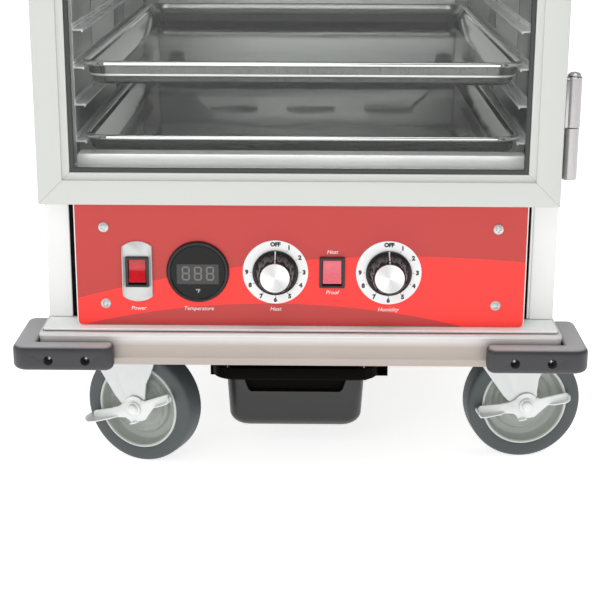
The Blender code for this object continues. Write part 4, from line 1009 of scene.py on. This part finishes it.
def knob(name):
    node = name + "_knob"
    low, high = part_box(node)
    center = (low + high) / 2
    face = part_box("control_panel")[0].y
    r, front = (high.x - low.x) / 2, face - low.y
    place = front_at(center.x, face, center.z)
    base = 0.0018
    rings = [(0.0036, -0.0139, 0), (0.0036, base, 0), (r - 0.0006, base, 0), (r, base + 0.0006, 0),
        (r, base + 0.0026, 0), (r - 0.0008, base + 0.0036, 0), (r - 0.0028, base + 0.0042, 0.25),
        (0.0192, base + 0.0062, 1), (0.0180, base + 0.0110, 1), (0.0168, front - 0.0035, 0.8),
        (0.0161, front - 0.0008, 0.1), (0.0157, front - 0.0002, 0), (0.0150, front - 0.0003, 0)]
    loops = []
    for radius, height, flute in rings:
        loop = []
        for i in range(KNOB_STEPS):
            a = 2 * math.pi * i / KNOB_STEPS
            dip = 0.0011 * flute * (abs(math.cos(a * FLUTES / 2)) ** 0.7 - 0.5)
            loop.append(place @ Vector(((radius + dip) * math.cos(a), (radius + dip) * math.sin(a), height)))
        loops.append(loop)
    piece(name + "_knob_grip", shape(skin, loops, caps=True), GLOSS_BLACK, node, (node,))
    bm = bmesh.new()
    cap_r = 0.0150
    lathe(bm, [(cap_r, front - 0.0006), (cap_r, front - 0.0001), (cap_r - 0.0004, front),
        (cap_r - 0.0012, front - 0.0001), (0, front - 0.0002)], place, 72)
    # the knob cap's light and dark sectors are painted sheen
    metal = finish_of(name + "_knob_cap_metal", painted_turned_sheen(center.x, center.z), 0.26, 900, metallic=0.85,
        tint=0.03, rough_spread=0.05, bump=0.06, bump_depth=0.00005)
    piece(name + "_knob_cap", bm, metal, node)
    line = [(0.0156, front - 0.0002), (0.0170, front - 0.0030), (0.0186, base + 0.0112),
        (0.0199, base + 0.0064), (r - 0.0026, base + 0.0046), (r - 0.0002, base + 0.0036)]
    half = 0.0006
    loops = [[place @ Vector((x, y, h + lift)) for x, lift in ((-half, 0.0), (half, 0.0), (half, 0.0004),
        (-half, 0.0004))] for y, h in line]
    piece(name + "_knob_pointer", shape(skin, loops, caps=True), PRINT_WHITE, node)


# --- base, bumpers and casters ------------------------------------------------------------
PAD_HALF_W, PAD_HALF_D, PAD_BOTTOM = 0.045, 0.055, 0.1563


def base():
    low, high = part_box("base_frame")
    deck_front, deck_rear, corner = -0.3708, 0.379, 0.006
    rim_top = high.z - 0.0015

    def loop(side, front, rear, z, radius=corner):
        return [(x, y, z) for x, y in rounded(low.x + side, low.y + front, high.x - side, high.y - rear,
            radius, 6)]

    bottom = low.z
    steps = [(0.0140, bottom + 0.0022), (0.0120, bottom + 0.0002), (0.0020, bottom),
        (0.0008, bottom + 0.0006), (0.0004, bottom + 0.0018), (0.0006, bottom + 0.0060),
        (0.0001, bottom + 0.0068), (0.0, bottom + 0.0078), (0.0001, bottom + 0.0088),
        (0.0004, bottom + 0.0098), (0.0005, bottom + 0.0260), (0.0003, bottom + 0.0276),
        (0.0001, rim_top - 0.0050), (0.0, rim_top - 0.0030), (0.0004, rim_top - 0.0012),
        (0.0012, rim_top - 0.0002), (0.0020, rim_top)]
    face_top = rim_top - 0.0040
    outside = [loop(i, i, i, z) for i, z in steps if z < face_top]
    inside = [loop(0.0040, 0.0040, 0.0040, face_top - 0.0002), loop(0.0140, 0.0140, 0.0140,
        bottom + 0.0040)]
    piece("base_rim", shape(skin, outside + [loop(0.0, 0.0, 0.0, face_top)] + inside, ring=True),
        BASE_METAL, "cabinet", ("base_frame",))
    lip = [loop(0.0, 0.0, 0.0, face_top + 0.0001)] + [loop(i, i, i, z) for i, z in steps if z > face_top]
    lip += [loop(0.0024, 0.0048, 0.0012, rim_top - 0.0002), loop(0.0026, 0.0056, 0.0014, rim_top - 0.0010),
        loop(0.0028, 0.0060, 0.0016, face_top + 0.0001)]
    # the lip in its paler metal, a painted highlight
    piece("base_rim_lip", shape(skin, lip, ring=True), LIT_LIP_METAL, "cabinet")
    # painted shade: the groove between the lip and the deck is floored in near-black
    bm = bmesh.new()
    prism(bm, rounded(low.x + 0.0042, low.y + 0.0050, high.x - 0.0042, high.y - 0.0042, 0.004, 4),
        face_top - 0.0006, rim_top - 0.0034)
    prism(bm, rounded(low.x + 0.0042, low.y + 0.0050, high.x - 0.0042, deck_front - 0.0002, 0.002, 3),
        rim_top - 0.0036, rim_top - 0.0006)
    piece("base_groove_floor", bm, GROOVE_SHADE, "cabinet")
    piece("base_deck", shape(prism, rounded(-BODY_HALF_W, deck_front, BODY_HALF_W, deck_rear, 0.004, 4),
        rim_top - 0.0033, high.z), DECK_METAL, "cabinet", bevel=0.0012, segments=3)
    for corner_name in CORNERS:
        x, y, _ = JOINTS["swivel_" + corner_name]["pos_m"]
        outline = rounded(x - PAD_HALF_W, y - PAD_HALF_D, x + PAD_HALF_W, y + PAD_HALF_D, 0.006, 4)
        piece("caster_pad_" + corner_name, shape(prism, outline, PAD_BOTTOM, rim_top - 0.003), SIDE_METAL,
            "cabinet", bevel=0.0010)


BUMPER_LEG, BUMPER_EDGE, BUMPER_DROP, BUMPER_SLIM = 0.1045, 0.0056, 0.0020, 0.0015


def bumper(corner_name):
    """An L of moulded rubber with two sunk screws in each leg."""
    node = "bumper_" + corner_name
    low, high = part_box(node)
    sx = 1 if corner_name.endswith("right") else -1
    sy = 1 if corner_name.startswith("rear") else -1
    out_x, out_y = max(abs(low.x), abs(high.x)) - BUMPER_SLIM, max(abs(low.y), abs(high.y))
    in_x, in_y, r, e = 0.2683, 0.3813, 0.015, 0.009
    leg_x, leg_y = out_x + BUMPER_SLIM - BUMPER_LEG, out_y - BUMPER_LEG
    outline = [(in_x, in_y), (in_x, leg_y)] + arc((out_x - e, leg_y + e), e, -90, 0, 8)
    outline += arc((out_x - r, out_y - r), r, 0, 90, 16) + arc((leg_x + e, out_y - e), e, 90, 180, 8)
    outline += [(leg_x, in_y)]
    obj = piece("corner_" + node, shape(prism, [(sx * x, sy * y) for x, y in outline], low.z - BUMPER_DROP,
        high.z), RUBBER_PAINTED_LIGHT, "cabinet", (node,), bevel=BUMPER_EDGE, segments=5)
    middle = (low.z + high.z) / 2 - 0.0027
    spots = [(out_x - 0.0377, out_y, 0), (out_x - 0.0752, out_y, 0), (out_x, out_y - 0.0377, 1),
        (out_x, out_y - 0.0752, 1)]
    cut, screws = bmesh.new(), bmesh.new()
    for x, y, on_side in spots:
        if on_side:
            turn = FACE_RIGHT if sx > 0 else FACE_LEFT
        else:
            turn = FACE_BACK if sy > 0 else FACE_FRONT
        place = Matrix.Translation((sx * x, sy * y, middle)) @ turn
        lathe(cut, [(0, -0.010), (0.0040, -0.010), (0.0044, -0.001), (0.0056, 0.0010), (0, 0.0010)], place,
            24)
        screw_head(screws, place @ Matrix.Translation((0, 0, -0.0102)), 0.0036, 0.0020)
    carve(obj, cut)
    piece(node + "_screws", screws, STEEL, "cabinet")


def swivel_places(corner_name):
    """The swivel's own frame on the floor, and the axle's, whose +Z points out past the lever."""
    x, y, _ = JOINTS["swivel_" + corner_name]["pos_m"]
    wheel = JOINTS["wheel_spin_" + corner_name]
    across = Vector(wheel["axis"])
    trail = Vector((across.y, -across.x, 0))
    turn = Matrix((trail, across, (0, 0, 1))).transposed().to_4x4()
    return Matrix.Translation((x, y, 0)) @ turn, Matrix.Translation(wheel["pos_m"]) @ turn @ FACE_FRONT


PLATE_BOTTOM, PLATE_TOP = 0.1530, 0.1560
PLATE_HALF_W, PLATE_HALF_D, BOLT_X, BOLT_Y = 0.035, 0.0475, 0.026, 0.038


def caster_plate(corner_name, swivel):
    node = "caster_plate_" + corner_name
    outline = rounded(-PLATE_HALF_W, -PLATE_HALF_D, PLATE_HALF_W, PLATE_HALF_D, 0.008, 6)
    middle = Matrix.Translation(swivel.translation)
    piece("top_plate_" + corner_name, shape(prism, outline, PLATE_BOTTOM, PLATE_TOP, middle), ZINC,
        "cabinet", (node,), bevel=0.0008)
    race = [(0, 0.1362), (0.0290, 0.1362), (0.0302, 0.1372), (0.0302, 0.1410), (0.0284, 0.1422),
        (0.0284, 0.1446), (0.0300, 0.1458), (0.0300, 0.1490), (0.0270, 0.1512), (0.0230, 0.1532),
        (0, 0.1532)]
    piece("bearing_race_" + corner_name, shape(lathe, race, middle, 48), ZINC, "cabinet")
    bm = bmesh.new()
    for sx in (-1, 1):
        for sy in (-1, 1):
            place = middle @ Matrix.Translation((sx * BOLT_X, sy * BOLT_Y, 0))
            prism(bm, ngon(0.0060, 6, 15), 0.1482, PLATE_BOTTOM, place)
    piece("plate_bolts_" + corner_name, bm, ZINC, "cabinet", bevel=0.0005)


FORK_IN, FORK_T = 0.018, 0.003


def fork(corner_name, swivel, axle, braked):
    body = "caster_swivel_" + corner_name
    node = "caster_fork_" + corner_name
    bm = bmesh.new()
    crown = [(0, 0.1318), (0.0290, 0.1318), (0.0305, 0.1324), (0.0310, 0.1336), (0.0306, 0.1352),
        (0.0290, 0.1358), (0, 0.1358)]
    lathe(bm, crown, swivel, 48)
    lathe(bm, [(0, 0.1262), (0.0085, 0.1262), (0.0095, 0.1272), (0.0095, 0.1320), (0, 0.1320)], swivel, 24)
    piece("fork_crown_" + corner_name, bm, ZINC, body, (node,))
    trail = (swivel.inverted() @ axle.translation).x
    left = [(-0.0590, 0.1335), (-0.0582, 0.1240), (-0.0545, 0.1160), (-0.0472, 0.1055), (-0.0360, 0.0895),
        (-0.0258, 0.0750), (-0.0168, 0.0655), (-0.0156, 0.0600), (-0.0115, 0.0535), (-0.0050, 0.0492)]
    right = [(0.0078, 0.1335), (0.0225, 0.1240), (0.0238, 0.1165), (0.0200, 0.1055), (0.0136, 0.0925),
        (0.0122, 0.0780), (0.0132, 0.0655), (0.0140, 0.0600), (0.0115, 0.0535), (0.0050, 0.0492)]
    for name, sy in (("near", -1), ("far", 1)):
        loops = []
        for (x0, z0), (x1, z1) in zip(left, right):
            loop = []
            for share in (0.0, 0.08, 0.2, 0.32, 0.36, 0.40, 0.55, 0.7, 0.85, 0.93, 1.0):
                x = trail + x0 + (x1 - x0) * share
                lean = max(0.0, min(1.0, (0.0185 - x) / 0.024)) * 0.0013
                lean += max(0.0, 1 - abs(share - 0.36) / 0.06) * 0.0006 * (1 if z0 > 0.072 else 0)
                loop.append(swivel @ Vector((x, sy * (FORK_IN + FORK_T / 2 - lean), z0 + (z1 - z0) * share)))
            loops.append(loop)
        leg = piece(f"fork_leg_{corner_name}_{name}", shape(skin, loops, wrap=False), ZINC, body)
        thick = leg.modifiers.new("thick", "SOLIDIFY")
        thick.thickness = FORK_T
        thick.offset = 0.0
        soften(leg, 0.0009, 2, 50)
    lever_room = 0.0036 if braked else 0.0
    side = FORK_IN + FORK_T
    bm = bmesh.new()
    lathe(bm, [(0, -side - 0.0002), (0.0052, -side - 0.0002), (0.0052, side + lever_room),
        (0, side + lever_room)], axle, 24)
    for sign, out in ((1, side + lever_room), (-1, side)):
        place = axle @ Matrix.Scale(sign, 4, (0, 0, 1))
        lathe(bm, [(0, out), (0.0078, out), (0.0080, out + 0.0004), (0.0076, out + 0.0009),
            (0.0060, out + 0.0010), (0.0058, out + 0.0030), (0.0050, out + 0.0042), (0.0034, out + 0.0049),
            (0, out + 0.0050)], place, 40)
    piece("axle_bolt_" + corner_name, bm, LEVER_ZINC, body, bevel=0.0004)


WHEEL_R = 0.0635


def wheel(corner_name, axle):
    node = "caster_wheel_" + corner_name
    r = WHEEL_R
    tread = [(r, 0.0), (r - 0.0001, 0.0080), (r - 0.0004, 0.0120), (r - 0.0012, 0.0142),
        (r - 0.0028, 0.0155), (r - 0.0058, 0.0160), (0.0500, 0.0161), (0.0482, 0.0156), (0.0476, 0.0146)]
    piece("tyre_" + corner_name, shape(lathe, [(a, -h) for a, h in reversed(tread)] + tread[1:]
        + [(0.0450, 0.0110), (0.0450, -0.0110)], axle, 96, ring=True), TYRE, node, (node,))
    face = [(0.0474, 0.0110), (0.0474, 0.0144), (0.0444, 0.0142), (0.0436, 0.0112), (0.0428, 0.0062),
        (0.0406, 0.0034), (0.0368, 0.0024), (0.0338, 0.0034), (0.0318, 0.0072), (0.0296, 0.0084),
        (0.0270, 0.0066), (0.0226, 0.0060), (0.0202, 0.0088), (0.0186, 0.0142), (0.0170, 0.0163),
        (0.0060, 0.0163)]
    piece("hub_" + corner_name, shape(lathe, face + [(a, -h) for a, h in reversed(face)], axle, 96,
        ring=True), HUB, node)
    # paler beads on the hub rims, painted highlights
    for name, sign in (("near", 1), ("far", -1)):
        turns = [math.radians(a) for a in range(0, 360, 30)]
        bead = [(0.0462 + 0.0016 * math.cos(a), sign * (0.0146 + 0.0016 * math.sin(a))) for a in turns]
        piece(f"hub_rim_{corner_name}_{name}", shape(lathe, bead, axle, 96, ring=True), HUB_RIM_HIGHLIGHT, node)


LEVER_TILTS = {"front_left": 20.0, "front_right": 7.0}     # degrees at rest, right arm up
ARM_ROOT, ARM_RISE = 0.014, 0.073     # each arm climbs this share of its reach past the boss
LEVER_LOWER = [(-0.0480, -0.0052), (-0.0300, -0.0056), (-0.0150, -0.0076), (-0.0115, -0.0112),
    (-0.0105, -0.0150), (-0.0015, -0.0166), (-0.0010, -0.0154), (0.0080, -0.0154),
    (0.0235, -0.0052), (0.0440, -0.0050)]
LEVER_UPPER = [(0.0450, 0.0046), (0.0240, 0.0050), (0.0155, 0.0050), (0.0140, 0.0068), (0.0118, 0.0060)]
LEVER_LIPS = {"right": [(0.0260, -0.0050, 0.0006), (0.0310, -0.0050, 0.0046), (0.0440, -0.0050, 0.0056),
    (0.0478, -0.0032, 0.0060), (0.0490, 0.0008, 0.0052), (0.0482, 0.0032, 0.0036)],
    "left": [(-0.0240, -0.0058, 0.0006), (-0.0310, -0.0056, 0.0060), (-0.0470, -0.0052, 0.0110),
    (-0.0548, -0.0038, 0.0140), (-0.0572, 0.0002, 0.0145), (-0.0564, 0.0034, 0.0115)]}


def brake_lever(corner_name, axle):
    """A stamped rocking lever: a boss plate, two arms with turned-out lips and a stop tab."""
    node = "brake_lever_" + corner_name
    low, thick, wall = FORK_IN + FORK_T + 0.0003, 0.0022, 0.0014
    place = axle @ Matrix.Rotation(math.radians(LEVER_TILTS[corner_name]), 4, "Z")
    outline = LEVER_LOWER + arc((0.0440, -0.0002), 0.0050, -60, 60, 6) + LEVER_UPPER
    outline += arc((0, 0), 0.0140, 35, 140, 9)
    outline += [(-0.0180, 0.0062), (-0.0300, 0.0050)] + arc((-0.0490, -0.0002), 0.0054, 100, 250, 8)
    outline = [(x, y + ARM_RISE * max(0.0, abs(x) - ARM_ROOT)) for x, y in outline]
    lever = piece("lever_plate_" + corner_name, shape(prism, outline, low, low + thick, place), LEVER_ZINC,
        node, (node,), bevel=0.0006)
    carve(lever, shape(lathe, [(0, 0), (0.0057, 0), (0.0057, low + 0.01), (0, low + 0.01)], axle, 24))
    for name, lip in LEVER_LIPS.items():
        sign = 1 if name == "right" else -1
        lip = [(x, y + ARM_RISE * (abs(x) - ARM_ROOT), rise) for x, y, rise in lip]
        loops = []
        for i, (x, y, rise) in enumerate(lip):
            before, after = lip[max(i - 1, 0)], lip[min(i + 1, len(lip) - 1)]
            along = Vector((after[0] - before[0], after[1] - before[1])).normalized()
            inward = (-along.y * wall * sign, along.x * wall * sign)
            top = low + thick + rise
            loops.append([place @ Vector(point) for point in ((x, y, low + 0.0008), (x, y, top),
                (x + inward[0], y + inward[1], top), (x + inward[0], y + inward[1], low + 0.0008))])
        piece(f"lever_lip_{corner_name}_{name}", shape(skin, loops, caps=True), LEVER_ZINC, node,
            bevel=0.0004)
    piece("lever_stop_" + corner_name, shape(prism, rounded(-0.0104, -0.0160, -0.0014, -0.0144, 0.0004, 2),
        low + 0.0010, low + 0.0056, place), LEVER_ZINC, node, bevel=0.0004)


def casters():
    for corner_name in CORNERS:
        swivel, axle = swivel_places(corner_name)
        braked = corner_name.startswith("front")
        caster_plate(corner_name, swivel)
        fork(corner_name, swivel, axle, braked)
        wheel(corner_name, axle)
        if braked:
            brake_lever(corner_name, axle)


# --- drip pan -----------------------------------------------------------------------------
DRIP_STEP = 0.0950     # underside of the drip pan's rim


def drip_pan():
    low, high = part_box("drip_pan")
    step, rim_z = 0.0146, DRIP_STEP
    tub_half, wall = (high.x - low.x) / 2 - step, 0.002
    middle = (low.x + high.x) / 2
    height = rim_z - low.z
    fillet = 0.0175
    turns = [math.radians(a) for a in range(0, 90, 10)]
    outer = [(0.0005 + fillet - fillet * math.sin(a), fillet - fillet * math.cos(a)) for a in turns]
    top = high.z - low.z
    rim = [(step - 0.0006, height - 0.0004), (0.0030, height - 0.0002), (0.0010, height + 0.0004),
        (0.0, height + 0.0018), (0.0, top - 0.0012), (0.0006, top - 0.0002), (0.0014, top),
        (0.0022, top - 0.0004), (0.0026, top - 0.0014), (0.0026, height + 0.0030),
        (0.0034, height + 0.0022), (step - 0.0006, height + 0.0020)]
    section = [(step + i + 0.0030 * (1 - z / height), z) for i, z in outer]
    section += [(step, height - 0.0012), (step, height + 0.0020), (step + wall, height + 0.0012)]
    section += [(step + wall + i + 0.0030 * (1 - z / height), z + wall * 0.9) for i, z in reversed(outer)]

    def loops(points):
        return [[(x, y, low.z + z) for x, y in rounded(low.x + inset, low.y + inset, high.x - inset,
            high.y - inset, max(0.024 - inset * 0.45, 0.004), 10)] for inset, z in points]

    tub = piece("condensate_tub", shape(skin, loops(section), caps=True), TUB, "drip_pan",
        ("drip_pan",))
    # the rim is a darker copy of the tub's plastic, painted shade
    piece("condensate_rim", shape(skin, loops(rim), ring=True), BLACK_AND_SHADE, "drip_pan")
    front = low.y + step
    carve(tub, shape(prism, rounded(middle - 0.060, rim_z - 0.0225, middle + 0.060, rim_z + 0.0010, 0.004,
        4), -(front + 0.0105), -(front + 0.0022), FACE_FRONT), "UNION")
    top, bottom = rim_z - 0.0018, rim_z - 0.0184
    mouth = [(middle - 0.0566, top), (middle + 0.0566, top), (middle + 0.0520, bottom + 0.003),
        (middle + 0.0490, bottom), (middle - 0.0490, bottom), (middle - 0.0520, bottom + 0.003)]
    carve(tub, shape(prism, mouth, -(front + 0.0078), -(front - 0.01), FACE_FRONT))
    # painted shade: a near-black plate at the back of the recess in the tub's front
    piece("condensate_mouth", shape(prism, mouth, -(front + 0.0082), -(front + 0.0074), FACE_FRONT),
        BLACK_AND_SHADE, "drip_pan")
    bm = bmesh.new()
    for sx in (-1, 1):
        x = middle + sx * (tub_half + 0.0002)
        for y in (low.y + 0.045, high.y - 0.045):
            prism(bm, rounded(y - 0.010, rim_z - 0.0125, y + 0.010, rim_z - 0.0035, 0.003, 4), -0.001,
                0.0030, Matrix.Translation((x, 0, 0)) @ (FACE_RIGHT if sx > 0 else FACE_LEFT)
                @ Matrix.Rotation(math.radians(90 * sx), 4, "Z"))
    piece("condensate_stops", bm, TUB, "drip_pan", bevel=0.0010, segments=3)


RUNNER_SETBACK = 0.019     # leaves the pan's rounded front corners in view


def drip_holder():
    low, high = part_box("drip_pan_holder")
    t, lip = 0.002, 0.016
    half = [(high.x, high.z), (high.x, low.z), (high.x - lip, low.z), (high.x - lip, low.z + t),
        (high.x - t, low.z + t), (high.x - t, high.z - t)]
    middle = (low.x + high.x) / 2
    outline = half + [(2 * middle - x, z) for x, z in reversed(half)]
    piece("tub_runner", shape(prism, outline, -high.y, -(low.y + RUNNER_SETBACK), FACE_FRONT), BLACK_AND_SHADE,
        "cabinet", ("drip_pan_holder",), bevel=0.0006)


# --- what sits inside the module and on the back ------------------------------------------
def module_insides():
    carried("water_pan", STEEL, 0.0004, 1)
    carried("air_heater", STEEL)
    carried("blower_motor", MATT_BLACK, 0.0012, 2)
    carried("blower_wheel", SIDE_METAL, 0.0003, 1)


def inlet():
    low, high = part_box("power_inlet")
    center = (low + high) / 2
    place = Matrix.Translation((center.x, low.y, center.z)) @ FACE_BACK
    length = high.y - low.y
    piece("gland_nut", shape(prism, ngon(0.0150, 6), 0.0, 0.0045, place), MATT_BLACK, "cabinet",
        ("power_inlet",), bevel=0.0008, segments=3)
    rings = [(0.0118, 0.0040)]
    for turn in range(4):
        h = 0.0052 + turn * 0.0012
        rings += [(0.0118, h), (0.0110, h + 0.0004), (0.0110, h + 0.0008), (0.0118, h + 0.0012)]
    rings += [(0.0112, 0.0112), (0.0092, length - 0.0006), (0.0084, length), (0.0052, length),
        (0.0046, length - 0.0010), (0.0044, 0.0060), (0, 0.0060)]
    piece("gland_cap", shape(lathe, [(0, 0.0040)] + rings, place, 48), MATT_BLACK, "cabinet")


def main():
    look()
    studio()
    door()
    body()
    sill()
    slide_racks()
    sheet_pan("upper")
    sheet_pan("lower")
    air_duct()
    control_panel()
    guard()
    rocker("power", LENS_RED, 0.0014)
    rocker("mode", LENS_PINK, 0.0008)
    display()
    dial("heat")
    dial("humidity")
    base()
    for corner_name in CORNERS:
        bumper(corner_name)
    casters()
    drip_holder()
    drip_pan()
    module_insides()
    inlet()


main()
